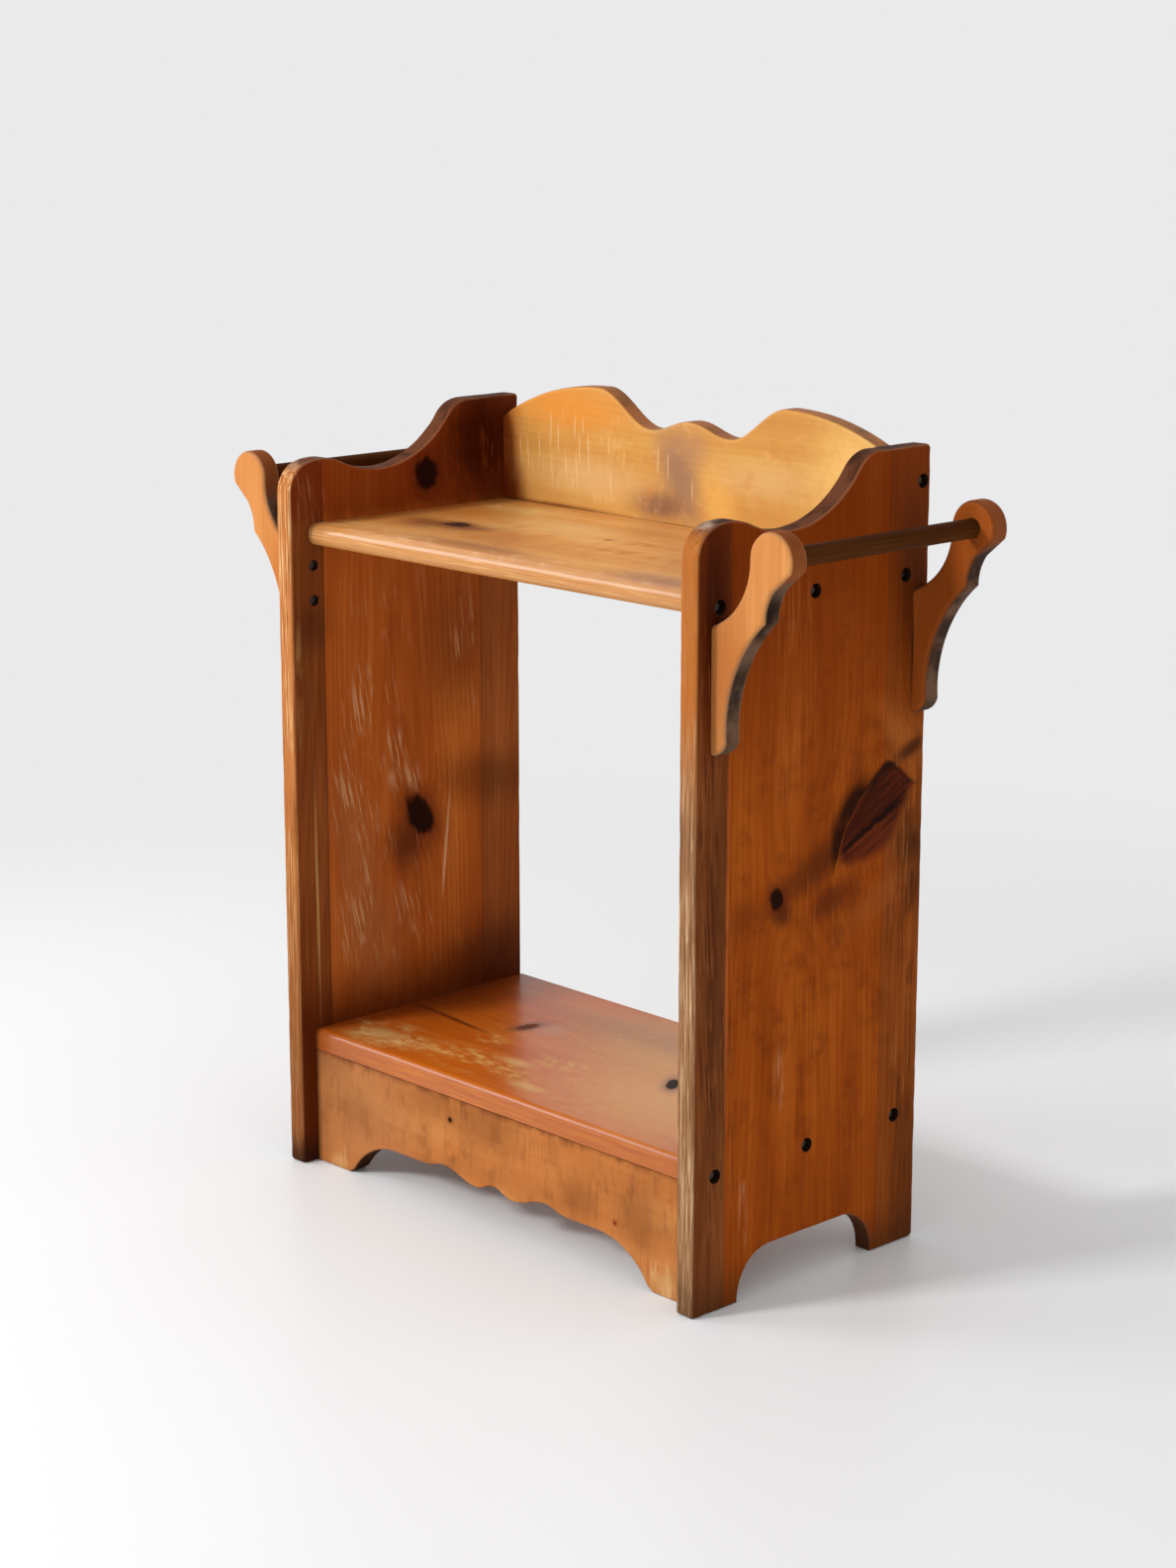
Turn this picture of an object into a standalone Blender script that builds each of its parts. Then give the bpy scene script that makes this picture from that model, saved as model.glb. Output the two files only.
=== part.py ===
"""Pine washstand with a towel bar at each side.

Two side panels, each edge-glued from three boards, carry an upper and a lower
shelf. A scrolled backsplash stands on the upper shelf and a scalloped apron
hangs under the lower one. Scrolled brackets on the outside of the panels hold
a round towel bar, which turns freely in their blind sockets.

Metres, +Z up. The origin is on the floor, at the middle of the stand. +X is
the stand's right as it is faced, and +Y points to its back.
"""
import math

import bmesh
import bpy
from mathutils import Matrix, Vector

# Case
CASE_WIDTH = 0.512
CASE_DEPTH = 0.267
SIDE_THICKNESS = 0.019
FRONT_STRIP_WIDTH = 0.036
REAR_STRIP_WIDTH = 0.049

# Shelves
LOWER_SHELF_TOP = 0.1245
LOWER_SHELF_THICKNESS = 0.019
LOWER_SHELF_SETBACK = 0.017
LOWER_SHELF_EDGE_ROUND = 0.005
UPPER_SHELF_TOP = 0.582
UPPER_SHELF_THICKNESS = 0.019
UPPER_SHELF_SETBACK = 0.020
UPPER_SHELF_NOSE_FLAT = 0.002

# Side panel outline, its heights measured from the upper shelf's top
SHOULDER_RISE = 0.094
SHOULDER_SETBACK = 0.0595
SHOULDER_RADIUS = 0.033
VALLEY_RADIUS = 0.100
LOBE_RISE = 0.0555
LOBE_SETBACK = 0.0355
LOBE_RADIUS = 0.062
LOBE_CORNER_RADIUS = 0.028
FOOT_LENGTH = 0.0533
FOOT_CORNER_RADIUS = 0.004
ARCH_HEIGHT = 0.041
ARCH_CORNER_RADIUS = 0.038
SIDE_EDGE_ROUND = 0.003

# Backsplash outline, its heights measured from the upper shelf's top
BACKSPLASH_THICKNESS = 0.019
BACKSPLASH_BUMP_RISE = 0.090
BACKSPLASH_VALLEY_RISE = 0.0795
BACKSPLASH_LOBE_RISE = 0.1105
BACKSPLASH_VALLEY_OFFSET = 0.047
BACKSPLASH_LOBE_OFFSET = 0.113
BACKSPLASH_END_RISE = 0.0762
BACKSPLASH_EDGE_ROUND = 0.003

# Apron outline, its heights measured from the floor
APRON_THICKNESS = 0.019
APRON_INSET = 0.0005
APRON_FOOT_LENGTH = 0.047
APRON_TOE_EASE = 0.004
APRON_COVE_RADIUS = 0.070
APRON_COVE_HEIGHT = 0.0355
APRON_PEAK_HEIGHT = 0.0405
APRON_DROP_HEIGHT = 0.0315
APRON_NOTCH_HEIGHT = 0.038
APRON_DROP_SHARE = 0.18
APRON_PEAK_SHARE = 0.50
APRON_STEP_SHARE = 0.70
APRON_EDGE_ROUND = 0.002

# Towel bars
BAR_DIAMETER = 0.016
BAR_RISE = 0.034
BAR_STANDOFF = 0.059
BAR_SOCKET_DEPTH = 0.010
BAR_END_ROUND = 0.001

# Towel brackets, their heights measured down from the bar's centre line
BRACKET_THICKNESS = 0.019
BRACKET_FRONT_SETBACK = 0.0155
BRACKET_REAR_SETBACK = 0.0
BRACKET_HEAD_RADIUS = 0.022
BRACKET_NECK_RADIUS = 0.058
BRACKET_BASE_TOP_DROP = 0.056
BRACKET_BASE_HEIGHT = 0.102
BRACKET_BALL_END_ANGLE = -22.0
BRACKET_COVE_OUT = 0.003
BRACKET_COVE_DROP = 0.0235
BRACKET_NICK_IN = 0.005
BRACKET_NICK_DROP = 0.0485
BRACKET_COVE_BOW = 0.0022
BRACKET_SWEEP_BOW = 0.0125
BRACKET_TOE_OUT = 0.0145
BRACKET_TOE_RISE = 0.012
BRACKET_TOE_BOW = 0.003
BRACKET_EDGE_ROUND = 0.004

# Shelf and backsplash screws, in counterbores on the outside of the panels
SHELF_SCREW_LENGTH = 0.038
SHELF_SCREW_SHANK = 0.0042
SHELF_SCREW_HEAD = 0.0082
SHELF_SCREW_HEAD_HEIGHT = 0.0026
SHELF_SCREW_CROWN = 0.0062
COUNTERBORE_DIAMETER = 0.011
COUNTERBORE_DEPTH = 0.007
SCREW_FRONT_SETBACK = 0.025
SCREW_REAR_SETBACK = 0.028
BACKSPLASH_SCREW_DROP = 0.0115

# Bracket screws, sunk below the inside of the panels
BRACKET_SCREW_LENGTH = 0.029
BRACKET_SCREW_SHANK = 0.0040
BRACKET_SCREW_HEAD = 0.0080
BRACKET_SCREW_HEAD_HEIGHT = 0.0030
BRACKET_SCREW_RIM = 0.0003
BRACKET_SCREW_SINK = 0.003
BRACKET_SCREW_FROM_TOP = 0.015
BRACKET_SCREW_PITCH = 0.031
SCREW_POINT = 0.006

# Clearances
JOINT_GAP = 0.0003
SCREW_GAP = 0.0003
BAR_GAP = 0.0004
CUTTER_OVERSHOOT = 0.002

# Fineness of round work
ARC_STEP_DEGREES = 12.0
WAVE_STEPS = 7
ROUND_SEGMENTS = 2
SCREW_SIDES = 10
BORE_SIDES = 16
BAR_SIDES = 24
SMOOTH_ANGLE = math.radians(40.0)
SAME_PLACE = 1e-6

# Places that follow from the sizes
FRONT = -CASE_DEPTH / 2
REAR = CASE_DEPTH / 2
SIDE_OUTER = CASE_WIDTH / 2
SIDE_INNER = SIDE_OUTER - SIDE_THICKNESS
SPAN_END = SIDE_INNER - JOINT_GAP
LOWER_SHELF_FRONT = FRONT + LOWER_SHELF_SETBACK
LOWER_SHELF_UNDERSIDE = LOWER_SHELF_TOP - LOWER_SHELF_THICKNESS
UPPER_SHELF_FRONT = FRONT + UPPER_SHELF_SETBACK
UPPER_SHELF_UNDERSIDE = UPPER_SHELF_TOP - UPPER_SHELF_THICKNESS
BACKSPLASH_FRONT = REAR - BACKSPLASH_THICKNESS
BAR_HEIGHT = UPPER_SHELF_TOP + BAR_RISE
BRACKET_BASE = SIDE_OUTER + JOINT_GAP
BAR_OUT = BRACKET_BASE + BAR_STANDOFF
BRACKET_FRONT_Y = (FRONT + BRACKET_FRONT_SETBACK, FRONT + BRACKET_FRONT_SETBACK + BRACKET_THICKNESS)
BRACKET_REAR_Y = (REAR - BRACKET_REAR_SETBACK - BRACKET_THICKNESS, REAR - BRACKET_REAR_SETBACK)
SIDES = {"left": -1, "right": 1}


# Points in a plane

def arc(center, radius, start_degrees, end_degrees):
    """Points along a circle, both ends included, counter-clockwise when the angle grows."""
    steps = max(2, math.ceil(abs(end_degrees - start_degrees) / ARC_STEP_DEGREES))
    points = []
    for step in range(steps + 1):
        angle = math.radians(start_degrees + (end_degrees - start_degrees) * step / steps)
        points.append(center + radius * Vector((math.cos(angle), math.sin(angle))))
    return points


def angle_to(center, point):
    """The direction from a centre to a point, in degrees from 0 to 360."""
    away = point - center
    return math.degrees(math.atan2(away.y, away.x)) % 360.0


def bow(start, end, height):
    """Points along an arc from start to end that bulges by height to the left of its chord."""
    chord = end - start
    half = chord.length / 2
    radius = (half * half + height * height) / (2 * abs(height))
    to_left = Vector((-chord.y, chord.x)).normalized()
    center = (start + end) / 2 + to_left * (height - math.copysign(radius, height))
    first = angle_to(center, start)
    turn = math.degrees(2 * math.asin(min(1.0, half / radius)))
    return arc(center, radius, first, first - math.copysign(turn, height))


def wave(start, end):
    """Points along half a cosine wave, level at both ends, start left out."""
    points = []
    for step in range(1, WAVE_STEPS + 1):
        share = step / WAVE_STEPS
        rise = (1 - math.cos(math.pi * share)) / 2
        points.append(Vector((start.x + (end.x - start.x) * share, start.y + (end.y - start.y) * rise)))
    return points


def meeting_point(center_a, radius_a, center_b, radius_b):
    """The upper of the two points where two circles meet."""
    across = center_b - center_a
    along = (across.length_squared + radius_a ** 2 - radius_b ** 2) / (2 * across.length)
    aside = math.sqrt(max(0.0, radius_a ** 2 - along ** 2))
    ahead = across.normalized()
    choices = [center_a + ahead * along + Vector((-ahead.y, ahead.x)) * aside * side for side in (1, -1)]
    return max(choices, key=lambda point: point.y)


def mirrored(half):
    """A whole outline from its right half, which starts on the middle line."""
    left = [Vector((-point.x, point.y)) for point in reversed(half[1:])]
    return left + half


# Solids

def place(point, axis, along):
    """A point of an outline in space: outlines lie across the X or the Y axis."""
    if axis == "X":
        return Vector((along, point.x, point.y))
    return Vector((point.x, along, point.y))


def prism(outline, axis, low, high):
    """A bmesh of a flat outline, drawn out along an axis from low to high."""
    mesh = bmesh.new()
    start = [mesh.verts.new(place(point, axis, low)) for point in outline]
    face = mesh.faces.new(start)
    grown = bmesh.ops.extrude_face_region(mesh, geom=[face])
    moved = [item for item in grown["geom"] if isinstance(item, bmesh.types.BMVert)]
    travel = place(Vector((0, 0)), axis, high - low)
    bmesh.ops.translate(mesh, verts=moved, vec=travel)
    bmesh.ops.recalc_face_normals(mesh, faces=mesh.faces)
    return mesh


def round_rims(mesh, axis, width, wanted):
    """Round the edges where an outline's sides meet its two faces, at the points that are wanted."""
    along = 0 if axis == "X" else 1
    height = 1 if axis == "X" else 0
    rims = []
    for edge in mesh.edges:
        first, second = (vert.co for vert in edge.verts)
        on_face = abs(first[along] - second[along]) < SAME_PLACE
        middle = (first + second) / 2
        if on_face and wanted(Vector((middle[height], middle.z))):
            rims.append(edge)
    bmesh.ops.bevel(mesh, geom=rims, offset=width, offset_type="OFFSET", segments=ROUND_SEGMENTS,
                    profile=0.5, affect="EDGES", clamp_overlap=False, material=-1)


def keep_between(mesh, low, high):
    """Saw a copy of a solid down to the part between two Y values, with closed ends."""
    board = mesh.copy()
    for limit, toward in ((low, -1), (high, 1)):
        if limit is None:
            continue
        everything = board.verts[:] + board.edges[:] + board.faces[:]
        bmesh.ops.bisect_plane(board, geom=everything, dist=SAME_PLACE, plane_co=(0, limit, 0),
                               plane_no=(0, toward, 0), clear_outer=True)
        sawn = [edge for edge in board.edges if edge.is_boundary]
        bmesh.ops.holes_fill(board, edges=sawn)
    bmesh.ops.recalc_face_normals(board, faces=board.faces)
    return board


def revolve(profile, sides):
    """A bmesh of a profile of (radius, height) points, turned once round the Z axis."""
    mesh = bmesh.new()
    points = [mesh.verts.new((radius, 0, height)) for radius, height in profile]
    edges = [mesh.edges.new(pair) for pair in zip(points, points[1:])]
    bmesh.ops.spin(mesh, geom=points + edges, cent=(0, 0, 0), axis=(0, 0, 1), angle=2 * math.pi,
                   steps=sides, use_merge=True)
    bmesh.ops.remove_doubles(mesh, verts=mesh.verts, dist=SAME_PLACE)
    bmesh.ops.recalc_face_normals(mesh, faces=mesh.faces)
    return mesh


# Objects and finishes

def finish(name, color, roughness, metallic=0.0):
    """A material of one plain colour."""
    made = bpy.data.materials.new(name)
    made.use_nodes = True
    shader = made.node_tree.nodes["Principled BSDF"]
    shader.inputs["Base Color"].default_value = (*color, 1.0)
    shader.inputs["Roughness"].default_value = roughness
    shader.inputs["Metallic"].default_value = metallic
    return made


def add_object(name, mesh, look, parent, collection=None):
    """An object from a bmesh, shaded smooth over its round parts."""
    data = bpy.data.meshes.new(name)
    mesh.to_mesh(data)
    mesh.free()
    data.shade_smooth()
    data.set_sharp_from_angle(angle=SMOOTH_ANGLE)
    made = bpy.data.objects.new(name, data)
    (collection or bpy.context.scene.collection).objects.link(made)
    if look:
        data.materials.append(look)
    made.parent = parent
    return made


def add_cutter(name, mesh, parent, collection):
    """A hidden solid that only bores holes in others."""
    made = add_object(name, mesh, None, parent, collection)
    made.hide_render = True
    made.display_type = "WIRE"
    return made


def bore(target, collection):
    """Cut every solid of a collection out of an object."""
    cut = target.modifiers.new("bores", "BOOLEAN")
    cut.operation = "DIFFERENCE"
    cut.operand_type = "COLLECTION"
    cut.collection = collection
    cut.solver = "EXACT"


# Outlines

def side_outline():
    """A side panel from the side: a front lobe, a valley, a rear shoulder, and an arch between feet."""
    shoulder_top = UPPER_SHELF_TOP + SHOULDER_RISE
    lobe_center = Vector((FRONT + LOBE_SETBACK, UPPER_SHELF_TOP + LOBE_RISE - LOBE_RADIUS))
    shoulder_center = Vector((REAR - SHOULDER_SETBACK, shoulder_top - SHOULDER_RADIUS))
    valley_center = meeting_point(lobe_center, LOBE_RADIUS + VALLEY_RADIUS,
                                  shoulder_center, SHOULDER_RADIUS + VALLEY_RADIUS)
    corner_y = FRONT + LOBE_CORNER_RADIUS
    corner_reach = LOBE_RADIUS - LOBE_CORNER_RADIUS
    corner_rise = math.sqrt(corner_reach ** 2 - (corner_y - lobe_center.x) ** 2)
    corner_center = Vector((corner_y, lobe_center.y + corner_rise))
    lobe_start = angle_to(lobe_center, corner_center)
    lobe_end = angle_to(lobe_center, valley_center)
    shoulder_start = angle_to(shoulder_center, valley_center)
    toe = FOOT_CORNER_RADIUS
    arch_low = ARCH_HEIGHT - ARCH_CORNER_RADIUS

    outline = arc(Vector((FRONT + toe, toe)), toe, 270, 180)
    outline += arc(corner_center, LOBE_CORNER_RADIUS, 180, lobe_start)
    outline += arc(lobe_center, LOBE_RADIUS, lobe_start, lobe_end)[1:]
    outline += arc(valley_center, VALLEY_RADIUS, lobe_end + 180, shoulder_start + 180)[1:]
    outline += arc(shoulder_center, SHOULDER_RADIUS, shoulder_start, 90)[1:]
    outline += arc(Vector((REAR - toe, shoulder_top - toe)), toe, 90, 0)
    outline += arc(Vector((REAR - toe, toe)), toe, 0, -90)
    for end, first, last in ((1, 0, 90), (-1, 90, 180)):
        foot_y = end * (REAR - FOOT_LENGTH)
        cove = Vector((foot_y - end * ARCH_CORNER_RADIUS, arch_low))
        curve = arc(cove, ARCH_CORNER_RADIUS, first, last)
        foot = [Vector((foot_y, 0))]
        outline += foot + curve if end > 0 else curve + foot
    return outline


def backsplash_outline():
    """The backsplash from the front: a small middle bump, two valleys and two broad lobes."""
    base = UPPER_SHELF_TOP + JOINT_GAP
    bump = Vector((0, UPPER_SHELF_TOP + BACKSPLASH_BUMP_RISE))
    valley = Vector((BACKSPLASH_VALLEY_OFFSET, UPPER_SHELF_TOP + BACKSPLASH_VALLEY_RISE))
    lobe = Vector((BACKSPLASH_LOBE_OFFSET, UPPER_SHELF_TOP + BACKSPLASH_LOBE_RISE))
    half = [bump] + wave(bump, valley) + wave(valley, lobe)
    end = Vector((SPAN_END, UPPER_SHELF_TOP + BACKSPLASH_END_RISE))
    radius = (end - lobe).length_squared / (2 * (lobe.y - end.y))
    center = lobe - Vector((0, radius))
    half += arc(center, radius, 90, angle_to(center, end))[1:]
    half.append(Vector((SPAN_END, base)))
    return mirrored(half)


def apron_outline():
    """The apron from the front: square feet, a cove beside each, and a scalloped middle."""
    top = LOWER_SHELF_UNDERSIDE - JOINT_GAP
    foot_x = SPAN_END - APRON_FOOT_LENGTH
    cove_drop = APRON_COVE_RADIUS - APRON_COVE_HEIGHT
    cove_run = math.sqrt(APRON_COVE_RADIUS ** 2 - cove_drop ** 2)
    cove_top = Vector((foot_x - cove_run, APRON_COVE_HEIGHT))
    notch = Vector((0, APRON_NOTCH_HEIGHT))
    drop = Vector((APRON_DROP_SHARE * cove_top.x, APRON_DROP_HEIGHT))
    peak = Vector((APRON_PEAK_SHARE * cove_top.x, APRON_PEAK_HEIGHT))
    step = Vector((APRON_STEP_SHARE * cove_top.x, APRON_COVE_HEIGHT))
    half = [notch] + wave(notch, drop) + wave(drop, peak) + wave(peak, step)
    cove_center = Vector((cove_top.x, -cove_drop))
    toe_start = math.degrees(math.asin((cove_drop + APRON_TOE_EASE) / APRON_COVE_RADIUS))
    half += arc(cove_center, APRON_COVE_RADIUS, 90, toe_start)
    half += [Vector((foot_x + APRON_TOE_EASE, 0)), Vector((SPAN_END, 0)), Vector((SPAN_END, top))]
    return mirrored(half)


def bracket_outline(side):
    """A towel bracket from the front: a round head, a waisted neck, a nick and a long sweep to its toe."""
    head = Vector((BAR_STANDOFF, 0))
    base_top = Vector((0, -BRACKET_BASE_TOP_DROP))
    base_bottom = Vector((0, -BRACKET_BASE_TOP_DROP - BRACKET_BASE_HEIGHT))
    cove = Vector((BAR_STANDOFF + BRACKET_COVE_OUT, -BRACKET_COVE_DROP))
    nick = Vector((BAR_STANDOFF - BRACKET_NICK_IN, -BRACKET_NICK_DROP))
    toe = base_bottom + Vector((BRACKET_TOE_OUT, BRACKET_TOE_RISE))
    neck_center = meeting_point(head, BRACKET_HEAD_RADIUS + BRACKET_NECK_RADIUS,
                                base_top, BRACKET_NECK_RADIUS)
    neck_start = angle_to(neck_center, base_top) - 360
    neck_end = angle_to(neck_center, head)
    if neck_end > 180:
        neck_end -= 360
    head_start = angle_to(head, neck_center)

    outline = arc(neck_center, BRACKET_NECK_RADIUS, neck_start, neck_end)
    outline += arc(head, BRACKET_HEAD_RADIUS, head_start, BRACKET_BALL_END_ANGLE)[1:]
    outline += bow(cove, nick, -BRACKET_COVE_BOW)
    outline += bow(nick, toe, -BRACKET_SWEEP_BOW)[1:]
    outline += bow(toe, base_bottom, BRACKET_TOE_BOW)[1:]
    return [Vector((side * (BRACKET_BASE + point.x), BAR_HEIGHT + point.y)) for point in outline]


def shelf_outline(front, top, thickness, upper_round, lower_round):
    """A shelf's cross-section, with its front edge rounded above and below."""
    underside = top - thickness
    outline = [Vector((REAR, underside)), Vector((REAR, top))]
    outline += arc(Vector((front + upper_round, top - upper_round)), upper_round, 90, 180)
    if lower_round:
        outline += arc(Vector((front + lower_round, underside + lower_round)), lower_round, 180, 270)
    else:
        outline.append(Vector((front, underside)))
    return outline


# Boards

def make_side_panel(side_name, parent, look, bores):
    """Three edge-glued boards, sawn from one outline whose rims are rounded."""
    side = SIDES[side_name]
    whole = prism(side_outline(), "X", side * SIDE_INNER, side * SIDE_OUTER)
    round_rims(whole, "X", SIDE_EDGE_ROUND, lambda point: True)
    front_seam = FRONT + FRONT_STRIP_WIDTH
    rear_seam = REAR - REAR_STRIP_WIDTH
    half_gap = JOINT_GAP / 2
    boards = {
        "front_strip": (None, front_seam - half_gap),
        "centre_board": (front_seam + half_gap, rear_seam - half_gap),
        "rear_strip": (rear_seam + half_gap, None),
    }
    for board_name, (low, high) in boards.items():
        board = keep_between(whole, low, high)
        made = add_object(f"{side_name}_side_{board_name}", board, look, parent)
        bore(made, bores)
    whole.free()


def make_shelves(parent, look, bores):
    """The two shelves, butted between the side panels."""
    nose = (UPPER_SHELF_THICKNESS - UPPER_SHELF_NOSE_FLAT) / 2
    upper = shelf_outline(UPPER_SHELF_FRONT, UPPER_SHELF_TOP, UPPER_SHELF_THICKNESS, nose, nose)
    lower = shelf_outline(LOWER_SHELF_FRONT, LOWER_SHELF_TOP, LOWER_SHELF_THICKNESS,
                          LOWER_SHELF_EDGE_ROUND, 0)
    for name, outline in (("upper_shelf", upper), ("lower_shelf", lower)):
        made = add_object(name, prism(outline, "X", -SPAN_END, SPAN_END), look, parent)
        bore(made, bores)


def make_backsplash(parent, look, bores):
    """The scrolled board along the back of the upper shelf."""
    board = prism(backsplash_outline(), "Y", BACKSPLASH_FRONT, REAR)
    scroll_foot = UPPER_SHELF_TOP + BACKSPLASH_EDGE_ROUND
    round_rims(board, "Y", BACKSPLASH_EDGE_ROUND,
               lambda point: abs(point.x) < SPAN_END - SAME_PLACE and point.y > scroll_foot)
    made = add_object("backsplash", board, look, parent)
    bore(made, bores)


def make_apron(parent, look):
    """The scalloped board under the front of the lower shelf."""
    face = LOWER_SHELF_FRONT + APRON_INSET
    board = prism(apron_outline(), "Y", face, face + APRON_THICKNESS)
    top = LOWER_SHELF_UNDERSIDE - JOINT_GAP
    round_rims(board, "Y", APRON_EDGE_ROUND,
               lambda point: abs(point.x) < SPAN_END - SAME_PLACE and point.y < top - SAME_PLACE)
    add_object("front_apron", board, look, parent)


# Towel rail

def make_brackets(side_name, parent, look, bores, sockets):
    """A front and a rear bracket, sawn from one outline."""
    side = SIDES[side_name]
    for place_name, (low, high) in (("front", BRACKET_FRONT_Y), ("rear", BRACKET_REAR_Y)):
        board = prism(bracket_outline(side), "Y", low, high)
        round_rims(board, "Y", BRACKET_EDGE_ROUND, lambda point: abs(point.x) > BRACKET_BASE + SAME_PLACE)
        made = add_object(f"towel_bracket_{side_name}_{place_name}", board, look, parent)
        bore(made, bores)
        bore(made, sockets)


def make_bar(side_name, parent, look, sockets):
    """A round bar that turns in a blind socket in each bracket, about an empty on its centre line."""
    side = SIDES[side_name]
    axis = bpy.data.objects.new(f"towel_bar_{side_name}_axis", None)
    bpy.context.scene.collection.objects.link(axis)
    axis.parent = parent
    axis.location = (side * BAR_OUT, 0, BAR_HEIGHT)
    socket_front = BRACKET_FRONT_Y[1] - BAR_SOCKET_DEPTH
    socket_rear = BRACKET_REAR_Y[0] + BAR_SOCKET_DEPTH
    low = socket_front + BAR_GAP
    high = socket_rear - BAR_GAP
    radius = BAR_DIAMETER / 2
    profile = [
        (0, low), (radius - BAR_END_ROUND, low), (radius, low + BAR_END_ROUND),
        (radius, high - BAR_END_ROUND), (radius - BAR_END_ROUND, high), (0, high),
    ]
    lay_down = Matrix.Rotation(math.radians(-90), 4, "X")
    bar = revolve(profile, BAR_SIDES)
    bar.transform(lay_down)
    add_object(f"towel_bar_{side_name}", bar, look, axis)

    socket_radius = (radius + BAR_GAP) / math.cos(math.pi / BAR_SIDES)
    inner_front = BRACKET_FRONT_Y[1] + CUTTER_OVERSHOOT
    inner_rear = BRACKET_REAR_Y[0] - CUTTER_OVERSHOOT
    for name, start, end in (("front", socket_front, inner_front), ("rear", inner_rear, socket_rear)):
        hole = revolve([(0, start), (socket_radius, start), (socket_radius, end), (0, end)], BAR_SIDES)
        hole.transform(lay_down)
        add_cutter(f"socket_{side_name}_{name}", hole, axis, sockets)


# Screws

def drive(name, at, toward, screw, hole, parent, look, bores):
    """A screw and the hole that it sits in, from the point where its head seats."""
    aim = Matrix.Translation(at) @ Vector(toward).to_track_quat("Z", "Y").to_matrix().to_4x4()
    body = revolve(screw, SCREW_SIDES)
    body.transform(aim)
    add_object(name, body, look, parent)
    cutter = revolve(hole, BORE_SIDES)
    cutter.transform(aim)
    add_cutter(f"{name}_hole", cutter, parent, bores)


def counterbored_screw(name, at, toward, parent, look, bores):
    """A pan-head wood screw at the bottom of a counterbore; at is on the panel's outer face."""
    shank = SHELF_SCREW_SHANK / 2
    head = SHELF_SCREW_HEAD / 2
    seat = COUNTERBORE_DEPTH - SCREW_GAP
    head_top = seat - SHELF_SCREW_HEAD_HEIGHT
    tip = seat + SHELF_SCREW_LENGTH
    screw = [
        (0, head_top), (SHELF_SCREW_CROWN / 2, head_top), (head, head_top + SHELF_SCREW_HEAD_HEIGHT / 2),
        (head, seat), (shank, seat), (shank, tip - SCREW_POINT), (0, tip),
    ]
    wall = COUNTERBORE_DIAMETER / 2
    clear = shank + SCREW_GAP
    hole = [
        (0, -CUTTER_OVERSHOOT), (wall, -CUTTER_OVERSHOOT), (wall, COUNTERBORE_DEPTH),
        (clear, COUNTERBORE_DEPTH), (clear, tip - SCREW_POINT + SCREW_GAP), (0, tip + SCREW_GAP),
    ]
    drive(name, at, toward, screw, hole, parent, look, bores)


def countersunk_screw(name, at, toward, parent, look, bores):
    """A flat-head wood screw, sunk below the panel's inner face; at is on that face."""
    shank = BRACKET_SCREW_SHANK / 2
    head = BRACKET_SCREW_HEAD / 2
    crown = BRACKET_SCREW_SINK
    land = crown + BRACKET_SCREW_RIM
    neck = crown + BRACKET_SCREW_HEAD_HEIGHT
    tip = crown + BRACKET_SCREW_LENGTH
    screw = [
        (0, crown), (head, crown), (head, land), (shank, neck), (shank, tip - SCREW_POINT), (0, tip),
    ]
    rim = head + SCREW_GAP
    clear = shank + SCREW_GAP
    hole = [
        (0, -CUTTER_OVERSHOOT), (rim, -CUTTER_OVERSHOOT), (rim, land + SCREW_GAP), (clear, neck + SCREW_GAP),
        (clear, tip - SCREW_POINT + SCREW_GAP), (0, tip + SCREW_GAP),
    ]
    drive(name, at, toward, screw, hole, parent, look, bores)


def make_screws(side_name, parent, look, bores):
    """Every screw that passes through one side panel."""
    side = SIDES[side_name]
    inward = (-side, 0, 0)
    outward = (side, 0, 0)
    front_row = FRONT + SCREW_FRONT_SETBACK
    rear_row = REAR - SCREW_REAR_SETBACK
    rows = {"front": front_row, "middle": (front_row + rear_row) / 2, "rear": rear_row}
    shelves = {
        "upper": UPPER_SHELF_TOP - UPPER_SHELF_THICKNESS / 2,
        "lower": LOWER_SHELF_TOP - LOWER_SHELF_THICKNESS / 2,
    }
    for shelf_name, height in shelves.items():
        for row_name, y in rows.items():
            name = f"{shelf_name}_shelf_screw_{side_name}_{row_name}"
            counterbored_screw(name, (side * SIDE_OUTER, y, height), inward, parent, look, bores)

    splash_y = REAR - BACKSPLASH_THICKNESS / 2
    splash_height = UPPER_SHELF_TOP + BACKSPLASH_END_RISE - BACKSPLASH_SCREW_DROP
    counterbored_screw(f"backsplash_screw_{side_name}", (side * SIDE_OUTER, splash_y, splash_height),
                       inward, parent, look, bores)

    first = BAR_HEIGHT - BRACKET_BASE_TOP_DROP - BRACKET_SCREW_FROM_TOP
    for place_name, (low, high) in (("front", BRACKET_FRONT_Y), ("rear", BRACKET_REAR_Y)):
        for level_name, height in (("upper", first), ("lower", first - BRACKET_SCREW_PITCH)):
            name = f"bracket_screw_{side_name}_{place_name}_{level_name}"
            at = (side * SIDE_INNER, (low + high) / 2, height)
            countersunk_screw(name, at, outward, parent, look, bores)


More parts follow.
